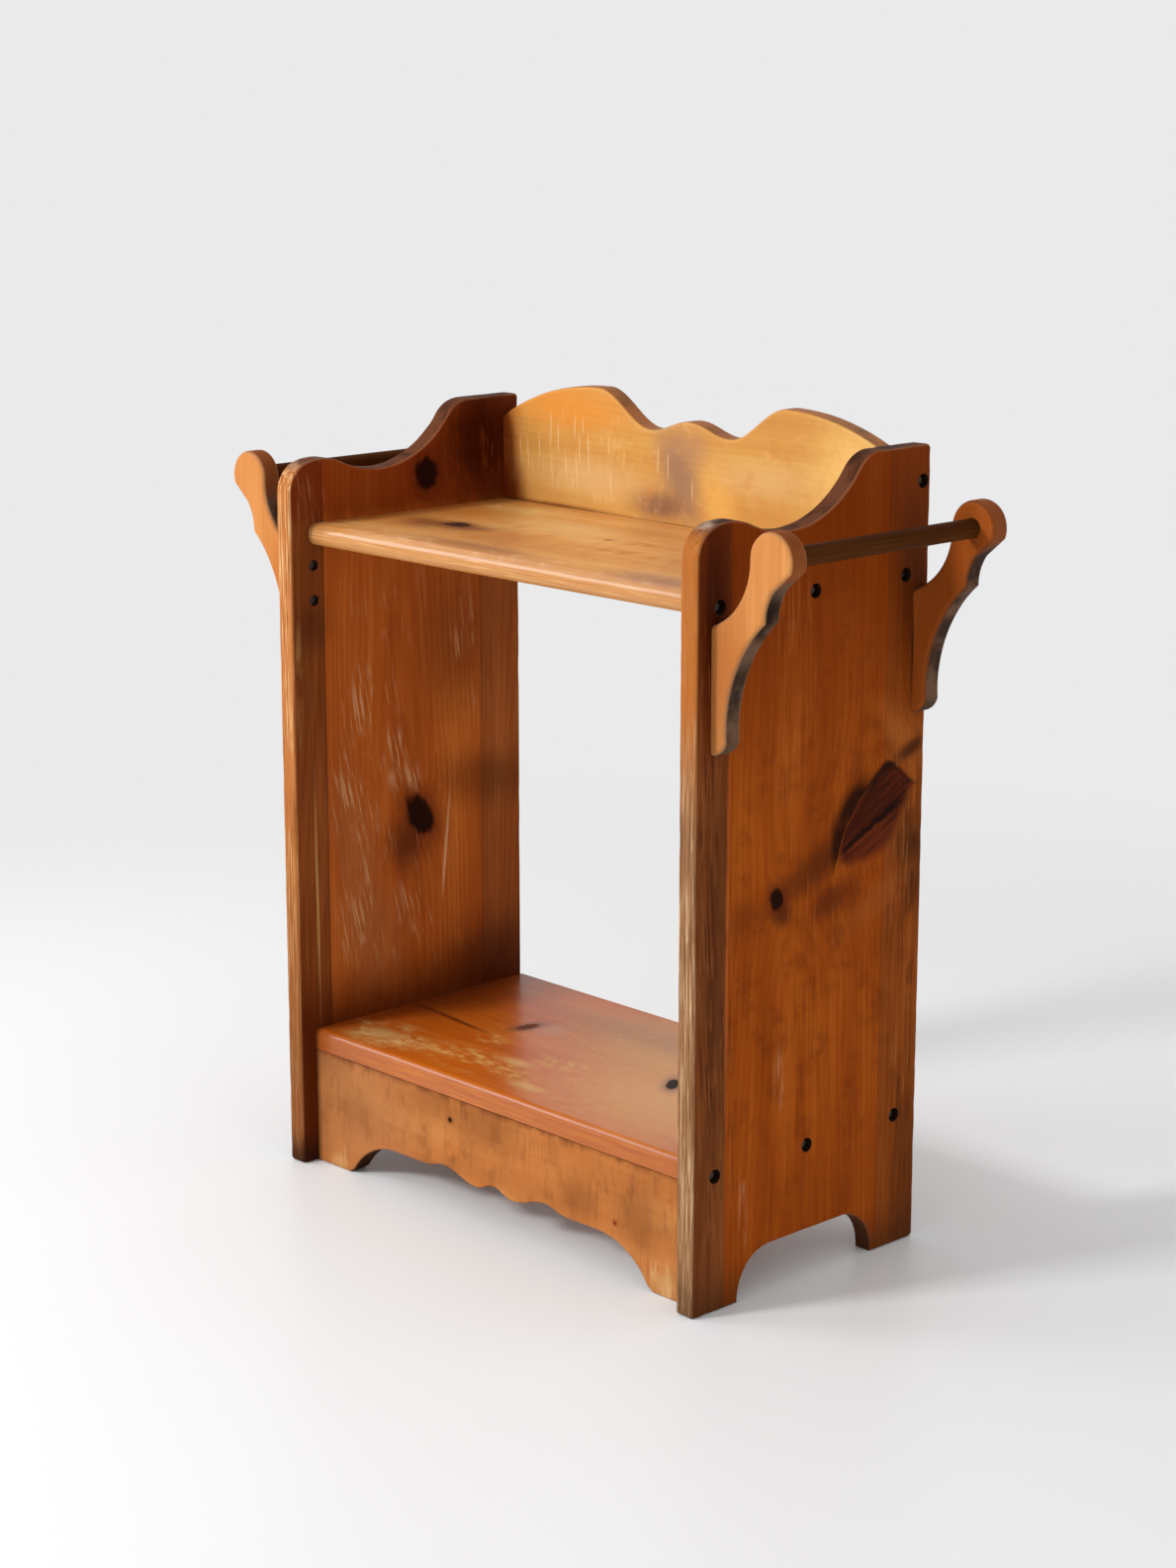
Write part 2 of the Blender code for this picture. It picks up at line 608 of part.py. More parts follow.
def main():
    for old in list(bpy.data.objects):
        bpy.data.objects.remove(old, do_unlink=True)

    pine = finish("reddish_pine", (0.27, 0.075, 0.015), 0.35)
    shelf_pine = finish("orange_pine", (0.48, 0.17, 0.045), 0.30)
    splash_pine = finish("pale_orange_pine", (0.72, 0.34, 0.08), 0.35)
    apron_pine = finish("worn_orange_pine", (0.52, 0.22, 0.06), 0.45)
    bracket_pine = finish("light_pine", (0.60, 0.27, 0.08), 0.40)
    bar_wood = finish("dark_dowel", (0.10, 0.042, 0.018), 0.40)
    steel = finish("dark_steel", (0.05, 0.045, 0.04), 0.50, 0.9)

    stand = bpy.data.objects.new("washstand", None)
    bpy.context.scene.collection.objects.link(stand)
    bores = bpy.data.collections.new("screw_holes")
    sockets = bpy.data.collections.new("bar_sockets")
    for group in (bores, sockets):
        bpy.context.scene.collection.children.link(group)

    make_shelves(stand, shelf_pine, bores)
    make_backsplash(stand, splash_pine, bores)
    make_apron(stand, apron_pine)
    for side_name in SIDES:
        make_side_panel(side_name, stand, pine, bores)
        make_brackets(side_name, stand, bracket_pine, bores, sockets)
        make_bar(side_name, stand, bar_wood, sockets)
        make_screws(side_name, stand, steel, bores)


main()
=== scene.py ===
# %% [markdown]
# # A worn pine washstand
#
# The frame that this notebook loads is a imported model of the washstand: every board at its real size and
# place, in metres, with +Z up, the front at -Y and the floor at Z = 0. Here each board is made again with
# finer curves, and gets a finish that shows its grain, its knots and years of use. Nothing is moved or
# resized: every new board takes its place from the board of the frame that it stands for.

# %% Load the frame
import math
from collections import namedtuple

import bmesh
import bpy
from mathutils import Matrix, Vector, noise


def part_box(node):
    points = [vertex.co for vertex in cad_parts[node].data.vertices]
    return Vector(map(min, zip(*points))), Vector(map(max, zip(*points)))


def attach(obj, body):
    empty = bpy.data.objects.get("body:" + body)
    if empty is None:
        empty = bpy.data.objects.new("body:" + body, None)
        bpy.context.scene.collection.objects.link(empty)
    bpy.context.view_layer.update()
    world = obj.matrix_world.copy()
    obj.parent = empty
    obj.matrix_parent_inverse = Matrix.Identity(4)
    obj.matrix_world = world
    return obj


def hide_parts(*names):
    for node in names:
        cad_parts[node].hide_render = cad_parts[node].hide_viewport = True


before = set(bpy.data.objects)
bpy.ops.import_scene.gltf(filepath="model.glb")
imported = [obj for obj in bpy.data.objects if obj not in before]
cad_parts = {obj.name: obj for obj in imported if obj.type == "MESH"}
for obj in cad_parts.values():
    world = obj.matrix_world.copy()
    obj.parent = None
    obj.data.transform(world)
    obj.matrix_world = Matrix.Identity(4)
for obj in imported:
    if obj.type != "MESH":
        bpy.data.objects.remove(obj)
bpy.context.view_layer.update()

# %% [markdown]
# ## The camera
#
# The camera stands where the photographer stood: to the right of the stand's front, a little above its top,
# with a long lens. The lens was worked out from the way the boards' parallel edges run together. A vertical
# sensor fit ties the view to the picture's height, so the same numbers hold at any size of render.

# %% Camera
SENSOR_HEIGHT = 36.0
CAMERA_LENS = 73.03
CAMERA_PLACE = (1.912, -1.8186, 1.0028)
CAMERA_TURN = math.radians(46.50)
CAMERA_DROP = math.radians(13.43)

lens = bpy.data.cameras.new("photo_camera")
lens.sensor_fit = "VERTICAL"
lens.sensor_height = SENSOR_HEIGHT
lens.lens = CAMERA_LENS
camera = bpy.data.objects.new("photo_camera", lens)
camera.location = CAMERA_PLACE
camera.rotation_euler = (math.pi / 2 - CAMERA_DROP, 0, CAMERA_TURN)
bpy.context.scene.collection.objects.link(camera)
bpy.context.scene.camera = camera
bpy.context.scene.view_settings.view_transform = "Standard"
print("camera looks", round(math.degrees(CAMERA_DROP), 1), "degrees down")

# %% [markdown]
# ## Nodes in few words
#
# A finish is a tree of shader nodes. They could be wired by hand in the Shader Editor, but here many boards
# share one recipe, so each tree is built by a handful of helpers. A line of code then reads like a line of
# that recipe: take some noise, keep its peaks, mix one tone over another. Tones are written as they are
# seen on a screen, from 0 to 255, and are made linear for the shader.

# %% Tones and nodes
FULL_TONE = 255
SCREEN_GAMMA_START = 0.04045
SCREEN_SLOPE = 12.92
SCREEN_OFFSET = 0.055
SCREEN_GAMMA = 2.4


def tone(red, green, blue):
    """A colour as it is seen on a screen, made linear."""
    linear = []
    for part in (red, green, blue):
        share = part / FULL_TONE
        if share < SCREEN_GAMMA_START:
            linear.append(share / SCREEN_SLOPE)
        else:
            linear.append(((share + SCREEN_OFFSET) / (1 + SCREEN_OFFSET)) ** SCREEN_GAMMA)
    return (*linear, 1.0)


def feed(tree, socket, value):
    """Link a socket to another one, or set its value."""
    if isinstance(value, bpy.types.NodeSocket):
        tree.links.new(value, socket)
    else:
        socket.default_value = value


def wire(tree, sockets, values):
    """Feed several sockets, each by its name or number."""
    for name, value in values.items():
        feed(tree, sockets[name], value)


def add_node(tree, kind, inputs=None, **settings):
    """A node with its settings, and its inputs linked or set."""
    made = tree.nodes.new(kind)
    for name, value in settings.items():
        setattr(made, name, value)
    wire(tree, made.inputs, inputs or {})
    return made


def calc(tree, operation, first, second=0.0):
    """One sum on two values."""
    return add_node(tree, "ShaderNodeMath", {0: first, 1: second}, operation=operation).outputs[0]


def vector_calc(tree, operation, first, second):
    """One sum on two vectors."""
    return add_node(tree, "ShaderNodeVectorMath", {0: first, 1: second}, operation=operation).outputs[0]


def new_finish(name):
    """An empty material, its node tree and its Principled shader."""
    finish = bpy.data.materials.new(name)
    finish.use_nodes = True
    return finish, finish.node_tree, finish.node_tree.nodes["Principled BSDF"]


print("a middle grey is", [round(part, 3) for part in tone(128, 128, 128)[:3]])

# %% [markdown]
# A mask says where one thing lies over another: 1 where it does, 0 where it doesn't. Most masks here are
# the peaks of a noise, kept by a smooth step, so that nothing on the wood ends in a hard line. What many
# finishes share is a node group: it is built once, and each finish places it with values of its own.

# %% Masks, mixes and groups
NOISE_MEAN = 0.5
SOCKET_KINDS = {"value": "NodeSocketFloat", "vector": "NodeSocketVector", "colour": "NodeSocketColor"}


def rise(tree, value, low, high):
    """A smooth step: 0 below low and 1 above high."""
    inputs = {"Value": value, "From Min": low, "From Max": high}
    return add_node(tree, "ShaderNodeMapRange", inputs, interpolation_type="SMOOTHSTEP").outputs["Result"]


def fall(tree, value, low, high):
    """A smooth step down: 1 below low and 0 above high."""
    return calc(tree, "SUBTRACT", 1.0, rise(tree, value, low, high))


def product(tree, *values):
    """Several values multiplied together."""
    total = values[0]
    for value in values[1:]:
        total = calc(tree, "MULTIPLY", total, value)
    return total


def span(tree, value, start, end):
    """A mask that comes in over one stretch of a value and goes out over another."""
    return product(tree, rise(tree, value, *start), fall(tree, value, *end))


def cloud(tree, coords, scale, detail=3.0, roughness=0.55):
    """Noise from 0 to 1, its scale given along each of the coordinates."""
    stretched = vector_calc(tree, "MULTIPLY", coords, scale)
    inputs = {"Vector": stretched, "Scale": 1.0, "Detail": detail, "Roughness": roughness}
    return add_node(tree, "ShaderNodeTexNoise", inputs).outputs[0]


def wobble(tree, coords, scale, size, **settings):
    """Noise that swings round 0, by half of its size at most to either side."""
    swing = calc(tree, "SUBTRACT", cloud(tree, coords, scale, **settings), NOISE_MEAN)
    return calc(tree, "MULTIPLY", swing, size)


def blend(tree, share, first, second):
    """A share of the second value with the rest of the first."""
    return add_node(tree, "ShaderNodeMix", {0: share, 2: first, 3: second}).outputs[0]


def paint(tree, mask, under, over):
    """One colour over another, where the mask is."""
    return add_node(tree, "ShaderNodeMix", {0: mask, 6: under, 7: over}, data_type="RGBA").outputs[2]


def new_group(name, inputs, outputs):
    """An empty node group with named sockets, and its input and output nodes."""
    tree = bpy.data.node_groups.new(name, "ShaderNodeTree")
    for in_out, sockets in (("INPUT", inputs), ("OUTPUT", outputs)):
        for socket, kind in sockets.items():
            tree.interface.new_socket(socket, in_out=in_out, socket_type=SOCKET_KINDS[kind])
    return tree, tree.nodes.new("NodeGroupInput").outputs, tree.nodes.new("NodeGroupOutput").inputs


def use_group(tree, group, **inputs):
    """A node group placed in a tree; returns its outputs."""
    made = add_node(tree, "ShaderNodeGroup", node_tree=group)
    wire(tree, made.inputs, {name.capitalize(): value for name, value in inputs.items()})
    return made.outputs


print("kinds of sockets:", sorted(SOCKET_KINDS))

# %% [markdown]
# ## Floor, light and background
#
# The stand is shown on a plain pale floor. Close to the stand the floor is a matt surface that takes its
# shadow. Farther off, the camera sees one even pale tone, which the world has as well, so no horizon shows
# from any side. Light Path keeps that tone out of the light that falls on the wood, which comes from a soft
# dome, a window-like lamp in front, and a broader, weaker one to the left.

# %% Floor and world
BACKDROP_TONE = tone(234, 234, 235)
FLOOR_TONE = tone(253, 253, 253)
FLOOR_RADIUS = 30.0
FLOOR_SIDES = 96
FLOOR_ROUGHNESS = 0.35
FLOOR_SHINE = 0.12
SHADOW_NEAR = 0.75
SHADOW_FAR = 1.7
DOME_STRENGTH = 0.60


def seen_rays(tree):
    """1 for rays from the camera, in a mirror or through glass, and 0 for light that falls on things."""
    path = add_node(tree, "ShaderNodeLightPath")
    seen = calc(tree, "MAXIMUM", path.outputs["Is Camera Ray"], path.outputs["Is Glossy Ray"])
    return calc(tree, "MAXIMUM", seen, path.outputs["Is Transmission Ray"])


def floor_finish():
    """Matt near the stand, and one even tone far from it."""
    finish, tree, surface = new_finish("pale_floor")
    wire(tree, surface.inputs, {"Base Color": FLOOR_TONE, "Roughness": FLOOR_ROUGHNESS,
                                "Specular IOR Level": FLOOR_SHINE})
    coords = add_node(tree, "ShaderNodeTexCoord").outputs["Object"]
    distance = add_node(tree, "ShaderNodeVectorMath", {0: coords}, operation="LENGTH").outputs["Value"]
    far = product(tree, rise(tree, distance, SHADOW_NEAR, SHADOW_FAR), seen_rays(tree))
    glow = add_node(tree, "ShaderNodeEmission", {"Color": BACKDROP_TONE, "Strength": 1.0})
    mixed = add_node(tree, "ShaderNodeMixShader", {0: far, 1: surface.outputs[0], 2: glow.outputs[0]})
    tree.links.new(mixed.outputs[0], tree.nodes["Material Output"].inputs["Surface"])
    return finish


def make_floor():
    """A wide round floor."""
    mesh = bmesh.new()
    bmesh.ops.create_circle(mesh, cap_ends=True, segments=FLOOR_SIDES, radius=FLOOR_RADIUS)
    data = bpy.data.meshes.new("floor")
    mesh.to_mesh(data)
    mesh.free()
    data.materials.append(floor_finish())
    floor = bpy.data.objects.new("floor", data)
    bpy.context.scene.collection.objects.link(floor)


def make_world():
    """A soft dome of light, seen as the same pale tone as the far floor."""
    world = bpy.data.worlds.new("studio")
    world.use_nodes = True
    tree = world.node_tree
    dome = tree.nodes["Background"]
    wire(tree, dome.inputs, {"Color": (1, 1, 1, 1), "Strength": DOME_STRENGTH})
    backdrop = add_node(tree, "ShaderNodeBackground", {"Color": BACKDROP_TONE, "Strength": 1.0})
    parts = {0: seen_rays(tree), 1: dome.outputs[0], 2: backdrop.outputs[0]}
    mixed = add_node(tree, "ShaderNodeMixShader", parts)
    tree.links.new(mixed.outputs[0], tree.nodes["World Output"].inputs["Surface"])
    bpy.context.scene.world = world


make_floor()
make_world()
print("floor and world are in place")

# %% [markdown]
# Daylight through a window is a broad light from one side. A sun lamp would give hard shadows, so an area
# lamp stands for the window: its size sets how soft the shadows are. A second one, larger and weaker, is
# the rest of the room.

# %% Window lights
LIGHT_TARGET = Vector((0, 0, 0.35))


def make_light(name, toward, distance, size, power):
    """A square soft light that looks at the stand from one direction."""
    light = bpy.data.lights.new(name, "AREA")
    light.shape = "SQUARE"
    light.size = size
    light.energy = power
    lamp = bpy.data.objects.new(name, light)
    away = Vector(toward).normalized()
    lamp.location = LIGHT_TARGET + away * distance
    lamp.rotation_euler = away.to_track_quat("Z", "Y").to_euler()
    bpy.context.scene.collection.objects.link(lamp)
    return lamp


window = make_light("window", toward=(-0.36, -1.0, 0.6), distance=3.5, size=0.6, power=57.0)
make_light("sky", toward=(-0.75, -0.6, 0.45), distance=3.0, size=1.1, power=18.0)
print("window light at", [round(part, 2) for part in window.location])

# %% [markdown]
# ## Pine, from the log outwards
#
# A tree's yearly rings lie round its pith, and a board is a slice through them. The grain group works the
# same way: it measures how far a point is from a pith line that runs along the board, and turns that
# distance into rings. Because it is a solid pattern, lines on the face carry on round the edges, as they do
# on real boards. Coordinates come in board order: across the board, through its thickness, and along its
# grain.

# %% Grain group
# A weave says how often a noise changes in a metre: across the board, through it, and along its grain.
SEED_SHIFT = (3.7, 9.1, 5.3)
SWAY_WEAVE = (5, 5, 1.3)
SWAY = 0.035
LEAN = 0.018
RIPPLE_WEAVE = (60, 60, 5)
RIPPLE = 0.5
LATE_WOOD = (0.25, 0.85)
RING_END = (0.9, 1.0)
FINE_WEAVE = (430, 430, 8)
COARSE_WEAVE = (150, 150, 2.5)
COARSE_SHARE = 0.3
BAND_WEAVE = (48, 48, 1.2)
DRIFT_WEAVE = (16, 16, 5)
SLOW_SHARE = 0.6


def make_grain_group():
    """Rings, fibres and slow drifts of tone for a board."""
    inputs = {"Coords": "vector", "Pith": "vector", "Spacing": "value", "Bend": "value", "Seed": "value"}
    outputs = {"Rings": "value", "Fibre": "value", "Drift": "value"}
    tree, given, result = new_group("pine grain", inputs, outputs)
    seed = vector_calc(tree, "SCALE", SEED_SHIFT, (0, 0, 0))
    tree.links.new(given["Seed"], seed.node.inputs["Scale"])
    coords = vector_calc(tree, "ADD", given["Coords"], seed)

    from_pith = vector_calc(tree, "SUBTRACT", given["Coords"], given["Pith"])
    across = vector_calc(tree, "MULTIPLY", from_pith, (1, 1, 0))
    distance = add_node(tree, "ShaderNodeVectorMath", {0: across}, operation="LENGTH").outputs["Value"]
    along = add_node(tree, "ShaderNodeSeparateXYZ", {0: from_pith}).outputs["Z"]
    distance = calc(tree, "ADD", distance, calc(tree, "MULTIPLY", along, LEAN))
    distance = calc(tree, "ADD", distance, wobble(tree, coords, SWAY_WEAVE, SWAY, detail=2.0))
    distance = calc(tree, "ADD", distance, given["Bend"])
    ripple = calc(tree, "MULTIPLY", cloud(tree, coords, RIPPLE_WEAVE, detail=2.0), RIPPLE)
    year = calc(tree, "FRACT", calc(tree, "ADD", calc(tree, "DIVIDE", distance, given["Spacing"]), ripple))
    fine = cloud(tree, coords, FINE_WEAVE, roughness=0.65)
    coarse = cloud(tree, coords, COARSE_WEAVE, detail=2.0)
    bands = cloud(tree, coords, BAND_WEAVE, detail=2.0)
    drift = cloud(tree, coords, DRIFT_WEAVE)
    wire(tree, result, {
        "Rings": span(tree, year, LATE_WOOD, RING_END),
        "Fibre": blend(tree, COARSE_SHARE, fine, coarse),
        "Drift": blend(tree, SLOW_SHARE, bands, drift),
    })
    return tree


GRAIN = make_grain_group()
print("grain group has", len(GRAIN.nodes), "nodes")

# %% [markdown]
# ## Knots, stains and wear
#
# A knot is the root of a branch: a dark core, and a shadow round it where the grain parts. A stain is the
# same soft spot without a core. Painted pictures could show both, but they would not carry on through the
# board, so one group draws them as ovals in the wood itself.

# %% Knots and stains
HALO_REACH = 2.6
HALO_START = 0.3
HALO_POWER = 1.6
CORE_RIM = (0.7, 1.05)
RAGGED_WEAVE = (130, 130, 70)
RAGGED = 0.7
KNOT_BEND = 0.007


def turned_way(tree, coords, centre, turn):
    """The way from a centre to a point, turned in the plane of the board."""
    inputs = {"Vector": vector_calc(tree, "SUBTRACT", coords, centre), "Axis": (0, 1, 0), "Angle": turn}
    return add_node(tree, "ShaderNodeVectorRotate", inputs, rotation_type="AXIS_ANGLE").outputs[0]


def oval(tree, coords, centre, reach, turn):
    """How far a point is from an oval's centre, 1 on its rim, and the turned way to it."""
    turned = turned_way(tree, coords, centre, turn)
    flat = vector_calc(tree, "MULTIPLY", vector_calc(tree, "DIVIDE", turned, reach), (1, 0, 1))
    return add_node(tree, "ShaderNodeVectorMath", {0: flat}, operation="LENGTH").outputs["Value"], turned


def make_blot_group():
    """A knot or a stain: a core, a soft halo, and how much the grain bends round it."""
    inputs = {"Coords": "vector", "Centre": "vector", "Reach": "vector", "Turn": "value"}
    outputs = {"Core": "value", "Halo": "value", "Bend": "value"}
    tree, given, result = new_group("knot or stain", inputs, outputs)
    distance = oval(tree, given["Coords"], given["Centre"], given["Reach"], given["Turn"])[0]
    distance = calc(tree, "ADD", distance, wobble(tree, given["Coords"], RAGGED_WEAVE, RAGGED))
    halo = fall(tree, distance, HALO_START, HALO_REACH)
    wire(tree, result, {
        "Core": fall(tree, distance, *CORE_RIM),
        "Halo": calc(tree, "POWER", halo, HALO_POWER),
        "Bend": calc(tree, "MULTIPLY", halo, KNOT_BEND),
    })
    return tree


BLOT = make_blot_group()
print("blot group has", len(BLOT.nodes), "nodes")

# %% [markdown]
# Wear is thin where a thing was dragged and patchy where it stood, so one group makes both: peaks of a
# stretched noise, kept inside a soft oval. Single thin scratches are drawn on a grid instead: each cell may
# hold one, with a length and a place left to chance, because no noise gives lines that are so thin and so
# far apart.

# %% Wear marks
WEAR_DETAIL = 4.0
WEAR_ROUGHNESS = 0.62
WEAR_RIM = (0.35, 1.0)
BREAK_WEAVE = (42, 42, 22)
BREAKS = (0.38, 0.6)


def make_wear_group():
    """Scratches or rubbed patches inside a soft oval."""
    inputs = {"Coords": "vector", "Centre": "vector", "Reach": "vector", "Turn": "value", "Weave": "vector",
              "Cover": "value", "Soft": "value"}
    tree, given, result = new_group("wear marks", inputs, {"Mask": "value"})
    distance, turned = oval(tree, given["Coords"], given["Centre"], given["Reach"], given["Turn"])
    marks = cloud(tree, turned, given["Weave"], WEAR_DETAIL, WEAR_ROUGHNESS)
    soft_end = calc(tree, "ADD", given["Cover"], given["Soft"])
    breaks = rise(tree, cloud(tree, given["Coords"], BREAK_WEAVE, detail=2.0), *BREAKS)
    mask = product(tree, rise(tree, marks, given["Cover"], soft_end), breaks, fall(tree, distance, *WEAR_RIM))
    tree.links.new(mask, result["Mask"])
    return tree


WEAR = make_wear_group()
print("wear group has", len(WEAR.nodes), "nodes")

# %% Hair scratches
HAIR_WIDTH = 0.0009
HAIR_CORE_SHARE = 0.3
HAIR_SWAY = 0.006
HAIR_SWAY_WEAVE = (24, 24, 24)
HAIR_MARGIN = 0.2
HAIR_SHORTEST = 0.4
HAIR_START = (0.0, 0.2)
HAIR_TAPER = 0.3
HAIR_RIM = (0.6, 1.0)


def chance(tree, luck, least, most):
    """A value between two limits, from a random one between 0 and 1."""
    return calc(tree, "ADD", least, calc(tree, "MULTIPLY", luck, most - least))


def make_hair_group():
    """Thin single scratches, one at most in each cell of a grid, inside a soft oval."""
    inputs = {"Coords": "vector", "Centre": "vector", "Reach": "vector", "Turn": "value", "Cell": "vector",
              "Share": "value"}
    tree, given, result = new_group("hair scratches", inputs, {"Mask": "value"})
    distance, turned = oval(tree, given["Coords"], given["Centre"], given["Reach"], given["Turn"])
    parts = add_node(tree, "ShaderNodeSeparateXYZ", {0: turned}).outputs
    cell = add_node(tree, "ShaderNodeSeparateXYZ", {0: given["Cell"]}).outputs
    sway = wobble(tree, turned, HAIR_SWAY_WEAVE, HAIR_SWAY, detail=2.0)
    swayed = calc(tree, "ADD", parts["X"], sway)
    across = calc(tree, "DIVIDE", swayed, cell["X"])
    column = calc(tree, "FLOOR", across)
    shift = add_node(tree, "ShaderNodeTexWhiteNoise", {"W": column}, noise_dimensions="1D").outputs["Value"]
    along = calc(tree, "ADD", calc(tree, "DIVIDE", parts["Z"], cell["Z"]), shift)
    corner = add_node(tree, "ShaderNodeCombineXYZ", {"X": column, "Y": calc(tree, "FLOOR", along)}).outputs[0]
    dice = add_node(tree, "ShaderNodeTexWhiteNoise", {"Vector": corner}, noise_dimensions="2D")
    luck = add_node(tree, "ShaderNodeSeparateColor", {0: dice.outputs["Color"]}).outputs

    middle = chance(tree, luck["Green"], HAIR_MARGIN, 1 - HAIR_MARGIN)
    aside = calc(tree, "ABSOLUTE", calc(tree, "SUBTRACT", calc(tree, "FRACT", across), middle))
    aside = calc(tree, "MULTIPLY", aside, cell["X"])
    line = fall(tree, aside, HAIR_WIDTH * HAIR_CORE_SHARE, HAIR_WIDTH)
    share_along = calc(tree, "FRACT", along)
    end = chance(tree, luck["Blue"], HAIR_SHORTEST, 1.0)
    ends = span(tree, share_along, HAIR_START, (calc(tree, "SUBTRACT", end, HAIR_TAPER), end))
    kept = calc(tree, "LESS_THAN", luck["Red"], given["Share"])
    tree.links.new(product(tree, line, ends, kept, fall(tree, distance, *HAIR_RIM)), result["Mask"])
    return tree


HAIR = make_hair_group()
print("hair group has", len(HAIR.nodes), "nodes")

# %% [markdown]
# The right panel has one mark of its own. The saw met a branch lengthwise there, and left a spike knot: a
# red-brown leaf that opens from one tip, a dark line along its middle, and smoke-like shading along its
# upper edge. The group turns the coordinates so that one runs along the branch, and draws each edge as a
# curve that flares and levels off. Most of its values are distances in metres: along the branch, or away
# from an edge.

# %% Spike knot sizes
SPIKE_TIP = Vector((0.027, 0, 0.345))
SPIKE_TURN = math.radians(28)
SPIKE_LENGTH = 0.118
SPIKE_FLARE = 0.034
SPIKE_LEAST_FLARE = -0.12
SPIKE_ABOVE = 0.040
SPIKE_BELOW = 0.034
SPIKE_ABOVE_TAPER = (0.088, 0.115)
SPIKE_BELOW_TAPER = (0.045, 0.112)
SPIKE_JITTER = 0.008
SPIKE_JITTER_WEAVE = (70, 70, 50)
SPIKE_FIBRE_WEAVE = (22, 22, 260)
LEAF_TIP = (0.0, 0.014)
LEAF_END = (SPIKE_LENGTH - 0.012, SPIKE_LENGTH)
LEAF_ABOVE = (-0.003, 0.001)
LEAF_BELOW = (-0.005, 0.009)
LINE_START = 0.006
LINE_SLOPE = 0.07
LINE_HALF = (-0.003, 0.003)
LINE_WIDTH = 0.0030
LINE_SPREAD = 0.030
LINE_CORE_SHARE = 0.2
LINE_FADES = ((0.006, 0.022), (0.075, 0.100))
RIM_WIDTH = (0.001, 0.006)
RIM_FADES = ((0.045, 0.070), (0.090, 0.115))
THREAD_INSET = 0.0015
THREAD_WIDTH = (0.0004, 0.0018)
THREAD_FADES = ((0.001, 0.008), (0.010, 0.034))
SMOKE_DEPTH = ((-0.002, 0.001), (0.001, 0.032))
SMOKE_FADES = ((-0.016, 0.014), (0.040, 0.085))
SMOKE_FULL = 0.85
SPIKE_BEND = 0.014
SPIKE_BEND_MIDDLE = SPIKE_TIP + Vector((0.045, 0, 0.032))
SPIKE_BEND_REACH = (0.09, 1, 0.05)
SPIKE_BEND_FADE = (0.2, 2.2)
print("the spike knot is", round(SPIKE_LENGTH * 1000), "mm long")

# %% Spike knot group
def make_spike_group():
    """A branch cut lengthwise: a leaf, its lower half, dark lines, a pale thread, smoke and fibres."""
    names = ("Leaf", "Lower", "Lines", "Thread", "Smoke", "Fibres", "Bend")
    tree, given, result = new_group("spike knot", {"Coords": "vector"}, {name: "value" for name in names})
    turned = turned_way(tree, given["Coords"], SPIKE_TIP, SPIKE_TURN)
    parts = add_node(tree, "ShaderNodeSeparateXYZ", {0: turned}).outputs
    along = parts["X"]
    jitter = wobble(tree, given["Coords"], SPIKE_JITTER_WEAVE, SPIKE_JITTER, detail=4.0, roughness=0.6)
    aside = calc(tree, "ADD", parts["Z"], jitter)
    flare = calc(tree, "SUBTRACT", 1.0, calc(tree, "EXPONENT", calc(tree, "DIVIDE", along, -SPIKE_FLARE)))
    flare = calc(tree, "MAXIMUM", flare, SPIKE_LEAST_FLARE)
    rounded_end = fall(tree, along, *SPIKE_ABOVE_TAPER)
    long_end = fall(tree, along, *SPIKE_BELOW_TAPER)
    above = calc(tree, "SUBTRACT", aside, product(tree, flare, rounded_end, SPIKE_ABOVE))
    below = calc(tree, "ADD", aside, product(tree, flare, long_end, SPIKE_BELOW))
    line = calc(tree, "SUBTRACT", LINE_START, calc(tree, "MULTIPLY", along, LINE_SLOPE))
    from_line = calc(tree, "SUBTRACT", aside, line)

    leaf = product(tree, fall(tree, above, *LEAF_ABOVE), rise(tree, below, *LEAF_BELOW),
                   span(tree, along, LEAF_TIP, LEAF_END))
    width = calc(tree, "ADD", LINE_WIDTH, calc(tree, "MULTIPLY", along, LINE_SPREAD))
    core = calc(tree, "MULTIPLY", width, LINE_CORE_SHARE)
    inner = product(tree, fall(tree, calc(tree, "ABSOLUTE", from_line), core, width),
                    span(tree, along, *LINE_FADES))
    outer = product(tree, fall(tree, calc(tree, "ABSOLUTE", above), *RIM_WIDTH),
                    span(tree, along, *RIM_FADES))
    from_thread = calc(tree, "ABSOLUTE", calc(tree, "ADD", above, THREAD_INSET))
    thread = product(tree, fall(tree, from_thread, *THREAD_WIDTH), span(tree, along, *THREAD_FADES))
    smoke = product(tree, span(tree, above, *SMOKE_DEPTH), span(tree, along, *SMOKE_FADES))
    distance = oval(tree, given["Coords"], SPIKE_BEND_MIDDLE, SPIKE_BEND_REACH, SPIKE_TURN)[0]
    wire(tree, result, {
        "Leaf": leaf,
        "Lower": fall(tree, from_line, *LINE_HALF),
        "Lines": calc(tree, "MAXIMUM", inner, outer),
        "Thread": thread,
        "Smoke": rise(tree, smoke, 0.0, SMOKE_FULL),
        "Fibres": cloud(tree, turned, SPIKE_FIBRE_WEAVE),
        "Bend": calc(tree, "MULTIPLY", fall(tree, distance, *SPIKE_BEND_FADE), SPIKE_BEND),
    })
    return tree


SPIKE = make_spike_group()
print("spike knot group has", len(SPIKE.nodes), "nodes")

